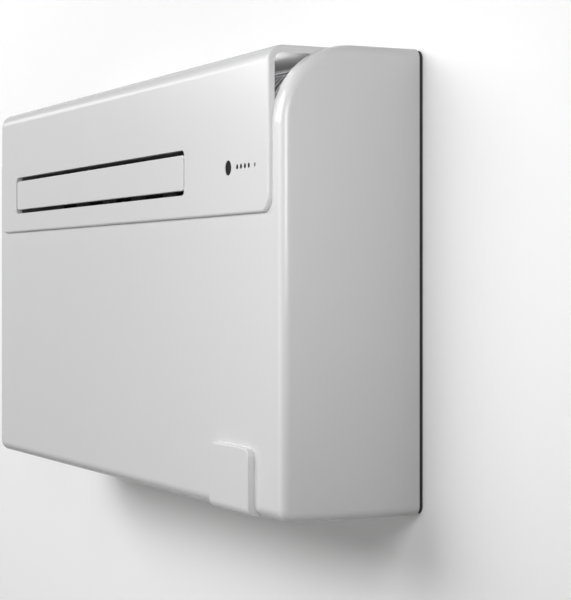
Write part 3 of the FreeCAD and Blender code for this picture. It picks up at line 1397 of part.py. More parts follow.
def gas_pipes():
    """Hot gas, cold gas and liquid pipes between the compressor and the two coils."""
    y = back(chamber_middle)
    hot_y = back(d.condenser_set + d.hot_set)
    hot_z = up(partition_under - d.hot_drop)
    outlet = up(pan_top + d.grommet_height + d.foot_plate + d.compressor_length + d.stub_length)
    turn_x = divider_x + d.pipe_side
    node("discharge_pipe", pipe("discharge_pipe", [
        (compressor_x, y, outlet), (compressor_x, y, hot_z), (turn_x, y, hot_z), (turn_x, hot_y, hot_z),
        (divider_x, hot_y, hot_z)], d.pipe_radius, d.pipe_bend))
    coil_y = back(coil_middle())
    cold_z = up(partition_under - d.cold_drop)
    rise_z = up(partition_top + d.cold_rise)
    tank_top = up(pan_top + d.accumulator_lift + d.accumulator_length)
    coil_end = coil_span()[1]
    node("suction_pipe", pipe("suction_pipe", [
        (coil_end, coil_y, rise_z), (accumulator_x, coil_y, rise_z), (accumulator_x, coil_y, cold_z),
        (accumulator_x, y, cold_z), (accumulator_x, y, tank_top)], d.pipe_radius, d.pipe_bend))
    wet_x = divider_x + d.pipe_side / 2
    wet_y = back(d.condenser_set + d.condenser_depth - d.liquid_set)
    low_z, wet_z = up(pan_top + d.liquid_lift), up(partition_under - d.liquid_drop)
    node("liquid_pipe", pipe("liquid_pipe", [
        (divider_x, wet_y, low_z), (wet_x, wet_y, low_z), (wet_x, wet_y, wet_z), (liquid_x(), wet_y, wet_z),
        (liquid_x(), coil_y, wet_z), (liquid_x(), coil_y, up(partition_top + d.liquid_rise)),
        (coil_end, coil_y, up(partition_top + d.liquid_rise))], d.liquid_radius, d.liquid_bend))


def control_pieces():
    """Open-fronted control box on the partition, its board and the run capacitor."""
    right = inner_half - d.box_room
    left = right - d.box_width
    front, rear = d.box_set, d.box_set + d.box_depth
    low, high = partition_top, partition_top + d.box_height
    skin = d.box_plate
    outside = box("control_outside", (left, right), (back(front), back(rear)), (up(low), up(high)))
    inside = box("control_inside", (left + skin, right - skin), (back(front - skin), back(rear - skin)),
                 (up(low + skin), up(high - skin)))
    node("control_box", cut("control_box", outside, inside))
    inset = skin + d.board_room
    board_front = rear - skin - d.board_plate
    board = box("control_sheet", (left + inset, right - inset), (back(board_front), back(rear - skin)),
                (up(low + inset), up(high - inset)))
    pitch = d.box_width / CHIP_COUNT
    starts = [left + pitch * (number + 0.5) - d.chip_width / 2 for number in range(CHIP_COUNT)]
    chips = [box(f"control_chip_{number}", (start, start + d.chip_width),
                 (back(board_front - d.chip_depth), back(board_front)),
                 (up(low + d.chip_lift), up(low + d.chip_lift + d.chip_height)))
             for number, start in enumerate(starts)]
    node("control_board", fuse("control_board", board, *chips))
    middle = (left + right) / 2
    length = d.capacitor_length / 2
    node("run_capacitor", rod("run_capacitor", "x", (middle - length, middle + length),
                              (back(front + skin + d.capacitor_radius), up(low + skin + d.capacitor_radius)),
                              d.capacitor_radius))


def gland_place():
    """Middle of the cord gland on the back panel."""
    return (inner_half - d.gland_place, up(partition_top + d.gland_rise))


def cable_gland():
    """Flanged gland in the back panel for the supply cord."""
    centre = gland_place()
    neck = rod("gland_neck", "y", (back(panel_front), back(case_back)), centre, d.gland_radius)
    flange = rod("gland_flange", "y", (back(panel_front - d.gland_plate), back(panel_front)), centre,
                 d.gland_radius + d.gland_flange)
    bore = rod("gland_bore", "y", (back(panel_front - d.gland_plate * 2), back(wall_plane)), centre,
               d.gland_bore)
    return cut("cable_gland", fuse("gland_blank", neck, flange), bore)


def build():
    """Makes every sub-part."""
    node("front_shell", front_shell())
    node("hood", hood())
    node("corner_tag", corner_tag())
    node("hood_grille", hood_grille())
    node("top_grille", top_grille())
    filters()
    display_pieces()
    node("flap", flap())
    node("flap_bush", flap_bush())
    node("flap_motor", flap_motor())
    node("outlet_duct", outlet_duct())
    for number, place in enumerate(vane_places(), start=1):
        node(f"vane_{number}", vane(number, place))
    node("vane_link", vane_link())
    node("crossflow_fan", crossflow_fan())
    node("scroll_casing", scroll_casing())
    node("fan_bearing", fan_bearing())
    node("fan_motor", fan_motor())
    node("motor_clamp", motor_clamp())
    room_coil()
    node("partition", partition())
    node("back_panel", back_panel())
    node("wall_bracket", wall_bracket())
    node("rear_gasket", rear_gasket())
    node("intake_collar", duct_collar("intake_collar", -exhaust_x))
    node("exhaust_collar", duct_collar("exhaust_collar", exhaust_x))
    node("fan_shroud", fan_shroud())
    node("motor_bracket", motor_bracket())
    node("exhaust_motor", exhaust_motor())
    node("exhaust_fan", exhaust_fan())
    node("base_pan", base_pan())
    node("drain_spout", drain_spout())
    condenser()
    node("air_divider", air_divider())
    node("compressor", compressor())
    node("compressor_grommets", compressor_grommets())
    node("accumulator", accumulator())
    gas_pipes()
    control_pieces()
    node("cable_gland", cable_gland())
    node("cover_screws", cover_screws())


def check_and_write():
    """Stops at any failed feature or bad shape, then writes one file per sub-part."""
    doc.recompute()
    failed = [item.Name for item in doc.Objects if {"Invalid", "Error"} & set(item.State)]
    if failed:
        raise RuntimeError(f"failed features: {failed}")
    broken = [item.Label for item in NODES
              if item.Shape.isNull() or not item.Shape.isValid() or not item.Shape.Solids]
    if broken:
        raise RuntimeError(f"bad shapes: {broken}")
    os.makedirs("parts", exist_ok=True)
    for item in NODES:
        item.Shape.exportStep(os.path.join("parts", f"{item.Label}.step"))


build()
check_and_write()
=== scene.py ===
"""Finishes and fine pieces of a through-wall air conditioner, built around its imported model."""

import math

import bmesh
import bpy
from bpy.props import FloatProperty, FloatVectorProperty, IntProperty, PointerProperty
from mathutils import Matrix, Vector


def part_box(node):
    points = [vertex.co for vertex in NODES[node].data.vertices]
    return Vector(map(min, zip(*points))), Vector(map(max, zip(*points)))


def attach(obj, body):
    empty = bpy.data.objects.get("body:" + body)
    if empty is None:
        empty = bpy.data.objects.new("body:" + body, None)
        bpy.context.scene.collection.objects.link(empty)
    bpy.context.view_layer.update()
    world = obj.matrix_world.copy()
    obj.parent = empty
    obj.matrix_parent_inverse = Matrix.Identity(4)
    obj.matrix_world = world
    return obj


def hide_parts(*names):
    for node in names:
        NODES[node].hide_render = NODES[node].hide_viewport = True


bl_info = {
    "name": "Through-wall air conditioner",
    "version": (1, 0, 0),
    "blender": (4, 5, 0),
    "location": "3D View > Sidebar > Air Conditioner",
    "description": "Dresses a wall-hung air conditioner with its finishes and fine pieces",
    "category": "Object",
}

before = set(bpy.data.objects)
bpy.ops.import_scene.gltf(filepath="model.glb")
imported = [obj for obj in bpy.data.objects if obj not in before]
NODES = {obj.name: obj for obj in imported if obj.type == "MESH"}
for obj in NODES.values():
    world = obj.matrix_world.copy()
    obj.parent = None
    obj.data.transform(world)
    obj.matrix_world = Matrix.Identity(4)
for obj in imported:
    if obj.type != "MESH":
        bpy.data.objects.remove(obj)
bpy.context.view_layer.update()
CASE = "case"
BLACK = (0.0, 0.0, 0.0)
WHITE = (1.0, 1.0, 1.0)

# Random patterns on the finishes: size of a feature in metres, detail, roughness of the pattern
PATTERNS = {
    "cast": (0.35, 3.0, 0.5),
    "haze": (0.06, 3.0, 0.5),
    "plastic_cloud": (0.02, 4.0, 0.5),
    "plastic_fleck": (0.0012, 2.0, 0.5),
    "smear": (0.006, 3.0, 0.5),
    "rub": (0.05, 5.0, 0.5),
    "streak": (0.0015, 2.0, 0.5),
    "tarnish": (0.018, 5.0, 0.6),
    "peel": (0.0022, 2.0, 0.5),
    "dust": (0.03, 5.0, 0.5),
    "rubber_cloud": (0.012, 4.0, 0.5),
}

# Where painted shade turns the white plastic dark, at the flap's ends and in the inlet slot, in metres
END_SHADOW_OFFSET = 0.0003
FRONT_DEPTH = 0.0002
SLOT_RIM = 0.0008

# Each coil, the setting for its bends, its lowest bend above its foot and its fins below its top, in metres
COILS = (
    ("evaporator_coil", "room_rows", 0.016, 0.0016),
    ("condenser_coil", "outdoor_rows", 0.0, 0.0),
)
TUBE_SIDES = 16
BEND_STEPS = 18
BEND_SMOOTH = math.radians(40)

# Digits to which two corners of a filter lie at the same place
SAME_DIGITS = 5

# Beads and screws of the back: shares of their width and rise from the foot, sunk in the sheet, to the top
BEAD_PROFILE = ((1.0, -0.2), (1.0, 0.0), (0.86, 0.10), (0.68, 0.42), (0.50, 0.78), (0.30, 0.96),
                (0.12, 1.0))
CAP_STEPS = 12
BEAD_SMOOTH = math.radians(50)
SCREW_PROFILE = ((1.0, -0.2), (1.0, 0.3), (0.94, 0.62), (0.80, 0.88), (0.62, 1.0))
SCREW_STEPS = 24
SCREW_SMOOTH = math.radians(35)
SCREW_SPANS = 3

# Cross recess of a screw: arm and half width as shares of the head's radius, floor as a share of its rise
CROSS_ARM = 0.48
CROSS_HALF = 0.11
CROSS_FLOOR = 0.35

# Lamps: width and height, place, the point that they face, spread in degrees
CASE_MIDDLE = (0.1, -0.1, -0.05)
LAMPS = {
    "left": ((3.4, 1.3), (-1.3, -2.5, 1.12), CASE_MIDDLE, 180),
    "above": ((1.4, 1.4), (0.2, -2.4, 1.7), CASE_MIDDLE, 180),
    "right": ((0.5, 0.5), (1.13, -0.77, 0.2), CASE_MIDDLE, 108),
    "edge": ((1.2, 0.3), (-2.5, -1.15, 0.68), CASE_MIDDLE, 180),
    "rear": ((3.0, 3.0), (0.0, 3.0, 0.0), (0.0, 0.0, 0.0), 180),
    "gap": ((0.9, 0.004), (0.0, -0.1585, 0.114), (0.0, -0.157, 0.182), 64),
}
SHADOWLESS = {"rear"}

# Mirrored sky: the way to its bright patch, where the patch starts, and its level behind the wall
PATCH_WAY = (-0.42, -0.90, 0.12)
PATCH_EDGE = 0.86
OUTSIDE_EVEN = 1.0

# Wall and floor in metres, and how near the wall clears for what the back panel mirrors
STAGE_REACH = 7.0
FLOOR_LEVEL = -2.0
WALL_CLEAR = 0.0004
CLOSE_RANGE = 0.02

# Level camera: place in metres, turn in degrees, lens and sensor in millimetres, shift as a share of width
CAMERA_PLACE = (2.2216, -0.9818, -0.0558)
CAMERA_TURN = 64.625
CAMERA_LENS = 113.54
CAMERA_SENSOR = 36.0
CAMERA_SHIFT = -0.02737


def colour(name, description, default):
    """A colour that a user would change."""
    return FloatVectorProperty(name=name, description=description, default=default, subtype="COLOR", size=3,
                               min=0.0, max=1.0)


def length(name, description, default):
    """A length that a user would change."""
    return FloatProperty(name=name, description=description, default=default, min=0.0, subtype="DISTANCE",
                         unit="LENGTH", precision=5)


def share(name, description, default):
    """A number between none and all."""
    return FloatProperty(name=name, description=description, default=default, min=0.0, max=1.0,
                         subtype="FACTOR")


def strength(name, description, default):
    """A level of even light."""
    return FloatProperty(name=name, description=description, default=default, min=0.0)


def power(name, description, default):
    """A lamp's power."""
    return FloatProperty(name=name, description=description, default=default, min=0.0, unit="POWER")


class CaseLook(bpy.types.PropertyGroup):
    """Look of the white case."""
    white: colour("White", "Moulded plastic of the case", (0.80, 0.80, 0.80))
    shade: colour("Shade", "Slightly darker cast of the moulding", (0.77, 0.77, 0.772))
    roughness: share("Roughness", "Satin of the case", 0.2)
    # Painted shade: dark colour on the flap's rounded ends, standing in for the shade in the gaps beside
    # them
    pad: colour("End pads", "Thin pads on the ends of the flap", (0.05, 0.05, 0.052))
    # Painted shade: dark grey put on the white shell around the inlet grille under the hood, standing in
    # for the shade there
    slot: colour("Inlet slot", "Walls of the slot under the hood", (0.12, 0.12, 0.122))
    lens: colour("Lens", "Dark lenses of the display", (0.006, 0.006, 0.007))
    button: colour("Button", "Small button beside the lamps", (0.12, 0.12, 0.125))


class InnerLook(bpy.types.PropertyGroup):
    """Colours of what lies behind the case."""
    dark: colour("Dark plastic", "Both fans", (0.035, 0.036, 0.038))
    grey: colour("Grey plastic", "Ducts, vanes and trays", (0.17, 0.175, 0.18))
    inlet: colour("Inlet grille", "Grille behind the hood", (0.20, 0.203, 0.206))
    rubber: colour("Rubber", "Seal, feet and gland", (0.03, 0.03, 0.031))
    steel: colour("Steel", "Galvanised sheet", (0.50, 0.51, 0.52))
    bracket: colour("Bracket", "Zinc of the wall bracket", (0.30, 0.305, 0.315))
    screw: colour("Screws", "Plated screws of the back", (0.62, 0.62, 0.63))
    aluminium: colour("Aluminium", "Fins of both coils", (0.74, 0.75, 0.76))
    copper: colour("Copper", "Refrigerant tubes", (0.72, 0.36, 0.20))
    enamel: colour("Enamel", "Compressor and accumulator", (0.018, 0.018, 0.02))
    motor: colour("Motor paint", "Motor cans and the capacitor", (0.42, 0.43, 0.44))
    board: colour("Circuit board", "Solder mask of the boards", (0.02, 0.13, 0.05))
    filter_frame: colour("Filter frame", "Plastic frame of the filters", (0.62, 0.64, 0.66))
    net: colour("Filter net", "Woven net of the filters", (0.20, 0.21, 0.225))


class FineSizes(bpy.types.PropertyGroup):
    """Sizes of the pieces that only the looks have."""
    fin_pitch: length("Fin pitch", "One coil fin to the next", 0.0026)
    fin_plate: length("Fin plate", "Thickness of a coil fin", 0.0005)
    end_plate: length("End plate", "Tube plate at each end of a coil", 0.0015)
    bend_radius: length("Bend radius", "Return bend, middle of its tube", 0.010)
    bend_tube: length("Bend tube", "Radius of a return bend's tube", 0.004)
    net_pitch: length("Net pitch", "One strand of the filter net to the next", 0.0040)
    net_strand: length("Net strand", "Thickness of a strand", 0.0006)
    screw_radius: length("Screw head", "Radius of the back panel's screw heads", 0.0042)
    screw_rise: length("Screw rise", "Height of those heads", 0.0019)
    screw_inset: length("Screw inset", "Screws from the back panel's edge", 0.026)
    bead_half: length("Bead half width", "Half width of the beads pressed in the back", 0.009)
    bead_rise: length("Bead rise", "Height of those beads", 0.0024)
    bead_pitch: length("Bead pitch", "One bead to the next", 0.040)
    bead_margin: length("Bead margin", "Ends of the beads from the back panel's edge", 0.050)
    bead_gap: length("Bead gap", "Beads from the bracket and the collars", 0.034)
    room_rows: IntProperty(name="Room coil bends", description="Return bends on the room coil", default=5)
    outdoor_rows: IntProperty(name="Outdoor coil bends", description="Return bends on the outdoor coil",
                              default=9)


class StageLook(bpy.types.PropertyGroup):
    """Wall, floor and light."""
    wall: colour("Wall", "Painted wall as it lights the case", (0.60, 0.60, 0.60))
    wall_seen: colour("Wall seen", "Painted wall as the camera sees it", (0.88, 0.88, 0.88))
    wall_glow: share("Wall glow", "White that the camera sees on the wall besides its light", 0.12)
    floor: colour("Floor", "Pale floor", (0.75, 0.75, 0.74))
    floor_glow: share("Floor glow", "White that the camera sees on the floor besides its light", 0.6)
    mirrored: strength("Mirrored sky", "Level of the sky that gloss and metal mirror in the room", 0.2)
    patch: strength("Mirrored patch", "Bright patch of that sky at the left front", 1.0)
    outside: strength("Mirrored outside", "Level of the sky that metal mirrors behind the wall", 0.8)
    left: power("Left", "Wide lamp at the left front", 78.0)
    above: power("Above", "Large lamp above the front", 7.0)
    right: power("Right", "Near lamp at the right front", 2.15)
    edge: power("Edge", "Lamp far to the left that draws bright lines on bends", 1.7)
    rear: power("Rear", "Lamp behind the wall, for views of the back", 14.0)
    gap: power("Gap", "Strip in the gap under the hood, for the light that falls in at its ends", 0.26)


SETTINGS = {
    "aircon_case": CaseLook,
    "aircon_inner": InnerLook,
    "aircon_fine": FineSizes,
    "aircon_stage": StageLook,
}


class Wire:
    """A node's output that takes part in Python sums."""

    def __init__(self, finish, socket):
        self.finish = finish
        self.socket = socket

    def sum(self, operation, first, second):
        return self.finish.node("ShaderNodeMath", {"operation": operation}, {0: first, 1: second})

    def __add__(self, other):
        return self.sum("ADD", self, other)

    __radd__ = __add__

    def __sub__(self, other):
        return self.sum("SUBTRACT", self, other)

    def __rsub__(self, other):
        return self.sum("SUBTRACT", other, self)

    def __mul__(self, other):
        return self.sum("MULTIPLY", self, other)

    __rmul__ = __mul__

    def above(self, level):
        return self.sum("GREATER_THAN", self, level)

    def most(self, other):
        return self.sum("MAXIMUM", self, other)

    def out(self, name):
        """Another output of the same node."""
        return Wire(self.finish, self.socket.node.outputs[name])


class Finish:
    """Nodes of a material, or of the sky, under construction."""

    def __init__(self, owner):
        self.material = owner if isinstance(owner, bpy.types.World) else bpy.data.materials.new(owner)
        self.material.use_nodes = True
        self.tree = self.material.node_tree
        shaders = {"BSDF_PRINCIPLED", "BACKGROUND"}
        self.shader = next(node for node in self.tree.nodes if node.type in shaders)

    def feed(self, socket, value):
        """Links a wire to a socket or sets the socket's own value."""
        if isinstance(value, Wire):
            self.tree.links.new(value.socket, socket)
        elif hasattr(value, "__len__") and len(value) == 3 and socket.type == "RGBA":
            socket.default_value = (*value, 1.0)
        else:
            socket.default_value = value

    def node(self, kind, settings=None, inputs=None):
        """Adds a node, sets it up, feeds it and hands back its first output."""
        made = self.tree.nodes.new(kind)
        for name, value in (settings or {}).items():
            setattr(made, name, value)
        for name, value in (inputs or {}).items():
            self.feed(made.inputs[name], value)
        shown = [socket for socket in made.outputs if socket.enabled]
        return Wire(self, shown[0])

    def set(self, **sockets):
        """Feeds the main shader; a socket's name has _ for a space."""
        for name, value in sockets.items():
            self.feed(self.shader.inputs[name.replace("_", " ").title()], value)

    def place(self):
        """Places on the object in metres."""
        return self.node("ShaderNodeTexCoord").out("Object")

    def noise(self, pattern):
        """Soft random variation between 0 and 1."""
        size, detail, roughness = PATTERNS[pattern]
        return self.node("ShaderNodeTexNoise", {"noise_dimensions": "3D"},
                         {"Vector": self.place(), "Scale": 1.0 / size, "Detail": detail,
                          "Roughness": roughness})

    def cells(self, size):
        """Cells with sharp borders, about as large as size."""
        return self.node("ShaderNodeTexVoronoi", {"feature": "F1"},
                         {"Vector": self.place(), "Scale": 1.0 / size})

    def mix(self, factor, first, second):
        """A colour between two."""
        return self.node("ShaderNodeMix", {"data_type": "RGBA"}, {0: factor, 6: first, 7: second})

    def bump(self, height, distance, strength):
        """A normal that follows a height."""
        return self.node("ShaderNodeBump", None,
                         {"Height": height, "Distance": distance, "Strength": strength})


def shaded(tone, factor):
    """A colour made lighter or darker."""
    return tuple(min(channel * factor, 1.0) for channel in tone)


def paint(material, *names):
    """Gives CAD nodes a material in place of their plain one."""
    for name in names:
        NODES[name].data.materials.clear()
        NODES[name].data.materials.append(material)


def white_plastic(name, look, ends=None, slot=None, hazy=0.04):
    """Satin moulded plastic; if asked, with painted shade on a piece's two ends or on the walls within a
    box.
    """
    finish = Finish(name)
    tone = finish.mix(finish.noise("cast"), look.white, look.shade)
    spot = finish.node("ShaderNodeSeparateXYZ", None, {"Vector": finish.place()}) if ends or slot else None
    if ends:
        # Painted shade: the flap is darkened past the edges of its flat front
        left, right = ends
        shadows = spot.out("X").above(right).most(1 - spot.out("X").above(left))
        tone = finish.mix(shadows, tone, look.pad)
    # Painted shade: the shell is darkened within the box around the inlet grille
    if slot:
        slot_shade_mask = 1.0
        for axis, low, high in zip("XYZ", *slot):
            slot_shade_mask = spot.out(axis).above(low) * (1 - spot.out(axis).above(high)) * slot_shade_mask
        tone = finish.mix(slot_shade_mask, tone, look.slot)
    finish.set(base_color=tone, roughness=look.roughness + finish.noise("haze") * hazy)
    return finish.material


def flap_ends():
    """Where the flat front of the flap gives way to its rounded left and right ends, past which painted
    shade darkens it.
    """
    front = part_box("flap")[0].y + FRONT_DEPTH
    face = [vertex.co.x for vertex in NODES["flap"].data.vertices if vertex.co.y < front]
    return min(face) - END_SHADOW_OFFSET, max(face) + END_SHADOW_OFFSET


def slot_shade_box():
    """The room around the inlet grille, with the walls of its slot, up to the hood's top, where painted
    shade darkens the shell.
    """
    low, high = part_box("hood_grille")
    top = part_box("hood")[1].z
    return ((low.x - SLOT_RIM, low.y - SLOT_RIM, low.z - SLOT_RIM),
            (high.x + SLOT_RIM, high.y + SLOT_RIM, top))


def dull_plastic(name, tone, roughness=0.5, lighten=1.15, uneven=0.12, fleck_rise=0.00006, fleck_share=0.4):
    """Matt moulded plastic."""
    finish = Finish(name)
    cloud = finish.noise("plastic_cloud")
    finish.set(base_color=finish.mix(cloud, tone, shaded(tone, lighten)),
               roughness=roughness + cloud * uneven,
               normal=finish.bump(finish.noise("plastic_fleck"), fleck_rise, fleck_share))
    return finish.material


def lens_gloss(name, tone, lighten=1.6, roughness=0.06, smeared=0.08):
    """Glossy dark lens."""
    finish = Finish(name)
    smear = finish.noise("smear")
    finish.set(base_color=finish.mix(smear, tone, shaded(tone, lighten)),
               roughness=roughness + smear * smeared)
    return finish.material


def zinc_sheet(name, tone, flake=0.007, darken=0.9, metallic=0.85, roughness=0.34, tilted=0.14, rubbed=0.1):
    """Galvanised sheet with its crystal flakes."""
    finish = Finish(name)
    tilt = finish.node("ShaderNodeSeparateColor", None, {"Color": finish.cells(flake).out("Color")})
    finish.set(base_color=finish.mix(tilt, tone, shaded(tone, darken)), metallic=metallic,
               roughness=roughness + tilt * tilted + finish.noise("rub") * rubbed)
    return finish.material


def bare_metal(name, tone, roughness, darken=0.7, stained=0.6, dulled=0.2, streak_rise=0.00002,
               streak_share=0.3):
    """Drawn or rolled metal with fine streaks and a little tarnish."""
    finish = Finish(name)
    tarnish = finish.noise("tarnish")
    finish.set(base_color=finish.mix(tarnish * stained, tone, shaded(tone, darken)), metallic=1.0,
               roughness=roughness + tarnish * dulled,
               normal=finish.bump(finish.noise("streak"), streak_rise, streak_share))
    return finish.material


def enamel(name, tone, lift=0.05, covered=0.5, roughness=0.32, dulled=0.15, peel_rise=0.00005,
           peel_share=0.5):
    """Sprayed paint on metal with a slight orange peel."""
    finish = Finish(name)
    dust = finish.noise("dust")
    dusty = tuple(min(channel + lift, 1.0) for channel in tone)
    finish.set(base_color=finish.mix(dust * covered, tone, dusty), roughness=roughness + dust * dulled,
               normal=finish.bump(finish.noise("peel"), peel_rise, peel_share))
    return finish.material


def soft_rubber(name, tone, cell=0.0016, lighten=1.5, roughness=0.78, uneven=0.15, cell_rise=0.00015,
                cell_share=0.6):
    """Matt closed-cell rubber."""
    finish = Finish(name)
    cloud = finish.noise("rubber_cloud")
    finish.set(base_color=finish.mix(cloud, tone, shaded(tone, lighten)),
               roughness=roughness + cloud * uneven,
               normal=finish.bump(finish.cells(cell), cell_rise, cell_share))
    return finish.material


def circuit_board(name, tone, pitch=0.012, track_width=0.06, lighten=2.2, roughness=0.4, smoother=0.1):
    """Solder mask with lighter copper tracks under it."""
    finish = Finish(name)
    track = finish.node("ShaderNodeTexBrick", {"offset": 0.5},
                        {"Vector": finish.place(), "Scale": 1.0 / pitch, "Mortar Size": track_width,
                         "Color1": BLACK, "Color2": BLACK, "Mortar": WHITE})
    grey = finish.node("ShaderNodeSeparateColor", None, {"Color": track})
    finish.set(base_color=finish.mix(grey, tone, shaded(tone, lighten)),
               roughness=roughness - grey * smoother)
    return finish.material


def add_object(name, mesh):
    """Puts a finished mesh in the scene."""
    piece = bpy.data.objects.new(name, mesh)
    bpy.context.scene.collection.objects.link(piece)
    return piece


def add_piece(name, build, material, smooth_angle=None):
    """A piece whose mesh a function builds, with its material and, if asked, smooth shading."""
    made = bmesh.new()
    build(made)
    bmesh.ops.recalc_face_normals(made, faces=made.faces)
    mesh = bpy.data.meshes.new(name)
    made.to_mesh(mesh)
    made.free()
    mesh.materials.append(material)
    if smooth_angle is not None:
        mesh.shade_smooth()
        mesh.set_sharp_from_angle(angle=smooth_angle)
    return add_object(name, mesh)


def add_block(made, low, high):
    """A block between two corners."""
    low, high = Vector(low), Vector(high)
    size = high - low
    bmesh.ops.create_cube(made, size=1.0,
                          matrix=Matrix.Translation((low + high) / 2) @ Matrix.Diagonal((*size, 1.0)))


def ring(made, points):
    """A closed row of points."""
    return [made.verts.new(point) for point in points]


def skin(made, rows):
    """Faces between rows of points that all have the same count."""
    for lower, upper in zip(rows, rows[1:]):
        for number in range(len(lower)):
            made.faces.new((lower[number - 1], lower[number], upper[number], upper[number - 1]))


def settle(piece, body, slot, *replaced):
    """Rides a piece on its body and hides the nodes that it stands for; the name of its finish is not used.
    """
    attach(piece, body)
    if replaced:
        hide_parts(*replaced)


class AIRCON_OT_case(bpy.types.Operator):
    """Gives the case, hood, flap, tag and top grille their white finish"""
    bl_idname = "aircon.case"
    bl_label = "Finish the case"

    def execute(self, context):
        look = context.scene.aircon_case
        paint(white_plastic("white_plastic", look), "hood", "corner_tag", "top_grille")
        # Painted shade on the shell around the inlet grille under the hood.
        paint(white_plastic("shell_plastic", look, slot=slot_shade_box()), "front_shell")
        # Painted shade on the flap's ends.
        paint(white_plastic("flap_plastic", look, ends=flap_ends()), "flap")
        return {"FINISHED"}


class AIRCON_OT_display(bpy.types.Operator):
    """Finishes the window, the lamps, the button and the circuit boards"""
    bl_idname = "aircon.display"
    bl_label = "Finish the display"

    def execute(self, context):
        look = context.scene.aircon_case
        paint(lens_gloss("dark_lens", look.lens), "ir_window", "led_lenses")
        paint(dull_plastic("button_plastic", look.button), "reset_button")
        paint(circuit_board("board_mask", context.scene.aircon_inner.board),
              "display_board", "control_board")
        return {"FINISHED"}


class AIRCON_OT_air_path(bpy.types.Operator):
    """Finishes the ducts, vanes, fans and trays"""
    bl_idname = "aircon.air_path"
    bl_label = "Finish the air path"

    def execute(self, context):
        look = context.scene.aircon_inner
        vanes = [name for name in NODES if name.startswith("vane_")]
        paint(dull_plastic("grey_plastic", look.grey), "outlet_duct", "scroll_casing", "motor_clamp",
              "drip_tray", "drain_spout", "flap_bush", "intake_collar", "exhaust_collar", "fan_shroud",
              *vanes)
        paint(dull_plastic("inlet_plastic", look.inlet), "hood_grille")
        paint(dull_plastic("dark_plastic", look.dark), "crossflow_fan", "exhaust_fan")
        return {"FINISHED"}


class AIRCON_OT_machinery(bpy.types.Operator):
    """Finishes the steel work, the cooling circuit and the motors"""
    bl_idname = "aircon.machinery"
    bl_label = "Finish the machinery"

    def execute(self, context):
        look = context.scene.aircon_inner
        paint(zinc_sheet("zinc_sheet", look.steel), "partition", "back_panel", "base_pan", "air_divider",
              "control_box", "cover_screws", "motor_bracket")
        paint(zinc_sheet("bracket_zinc", look.bracket), "wall_bracket")
        paint(bare_metal("copper_tube", look.copper, roughness=0.25),
              "suction_pipe", "discharge_pipe", "liquid_pipe")
        paint(enamel("black_enamel", look.enamel), "compressor", "accumulator")
        paint(enamel("motor_paint", look.motor),
              "fan_motor", "exhaust_motor", "flap_motor", "run_capacitor")
        paint(soft_rubber("black_rubber", look.rubber), "rear_gasket", "compressor_grommets", "cable_gland",
              "fan_bearing")
        return {"FINISHED"}


def fin_pack(made, low, high, sizes):
    """Thin fins across a coil between two end plates."""
    add_block(made, low, (low.x + sizes.end_plate, high.y, high.z))
    add_block(made, (high.x - sizes.end_plate, low.y, low.z), high)
    count = int((high.x - low.x - 2 * sizes.end_plate) / sizes.fin_pitch)
    first = (low.x + high.x - sizes.fin_pitch * (count - 1)) / 2
    for number in range(count):
        middle = first + sizes.fin_pitch * number
        add_block(made, (middle - sizes.fin_plate / 2, low.y, low.z),
                  (middle + sizes.fin_plate / 2, high.y, high.z))


def half_bends(made, x, y, levels, rows, sizes):
    """Half-round tube bends one above the other at a coil's left end."""
    low, high = levels
    step = (high - low) / rows
    turns = [math.tau * side / TUBE_SIDES for side in range(TUBE_SIDES)]
    for number in range(rows):
        middle = low + step * (number + 0.5)
        stations = []
        for station in range(BEND_STEPS + 1):
            way = math.pi * station / BEND_STEPS
            section = []
            for turn in turns:
                reach = sizes.bend_radius - sizes.bend_tube * math.sin(turn)
                section.append((x - reach * math.sin(way), y + sizes.bend_tube * math.cos(turn),
                                middle + reach * math.cos(way)))
            stations.append(ring(made, section))
        skin(made, stations)
        made.faces.new(stations[0])
        made.faces.new(stations[-1])


class AIRCON_OT_coils(bpy.types.Operator):
    """Builds both coils from thin fins, end plates and return bends"""
    bl_idname = "aircon.coils"
    bl_label = "Build the coils"

    def execute(self, context):
        look, sizes = context.scene.aircon_inner, context.scene.aircon_fine
        fins = bare_metal("fin_aluminium", look.aluminium, roughness=0.3)
        copper = bpy.data.materials["copper_tube"]
        for node, setting, lift, trim in COILS:
            low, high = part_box(node)
            start = low.x + sizes.bend_radius + sizes.bend_tube
            low, high = Vector((start, low.y, low.z)), Vector((high.x, high.y, high.z - trim))
            depth, levels = (low.y + high.y) / 2, (low.z + lift, high.z)
            rows = getattr(sizes, setting)
            pack = add_piece(f"{node}_fins", lambda made: fin_pack(made, low, high, sizes), fins)
            settle(pack, CASE, "fin_aluminium", node)
            bends = add_piece(f"{node}_bends",
                              lambda made: half_bends(made, start, depth, levels, rows, sizes),
                              copper, BEND_SMOOTH)
            settle(bends, CASE, "copper")
        return {"FINISHED"}


def net_strands(made, panes, depth, levels, sizes):
    """Crossing strands over every pane of a filter."""
    half = sizes.net_strand / 2
    low, high = levels
    for left, right in panes:
        for start, end, upright in ((left, right, True), (low, high, False)):
            count = int((end - start) / sizes.net_pitch)
            step = (end - start) / (count + 1)
            for number in range(1, count + 1):
                place = start + step * number
                if upright:
                    add_block(made, (place - half, depth, low), (place + half, depth + half, high))
                else:
                    add_block(made, (left, depth - half, place - half), (right, depth, place + half))


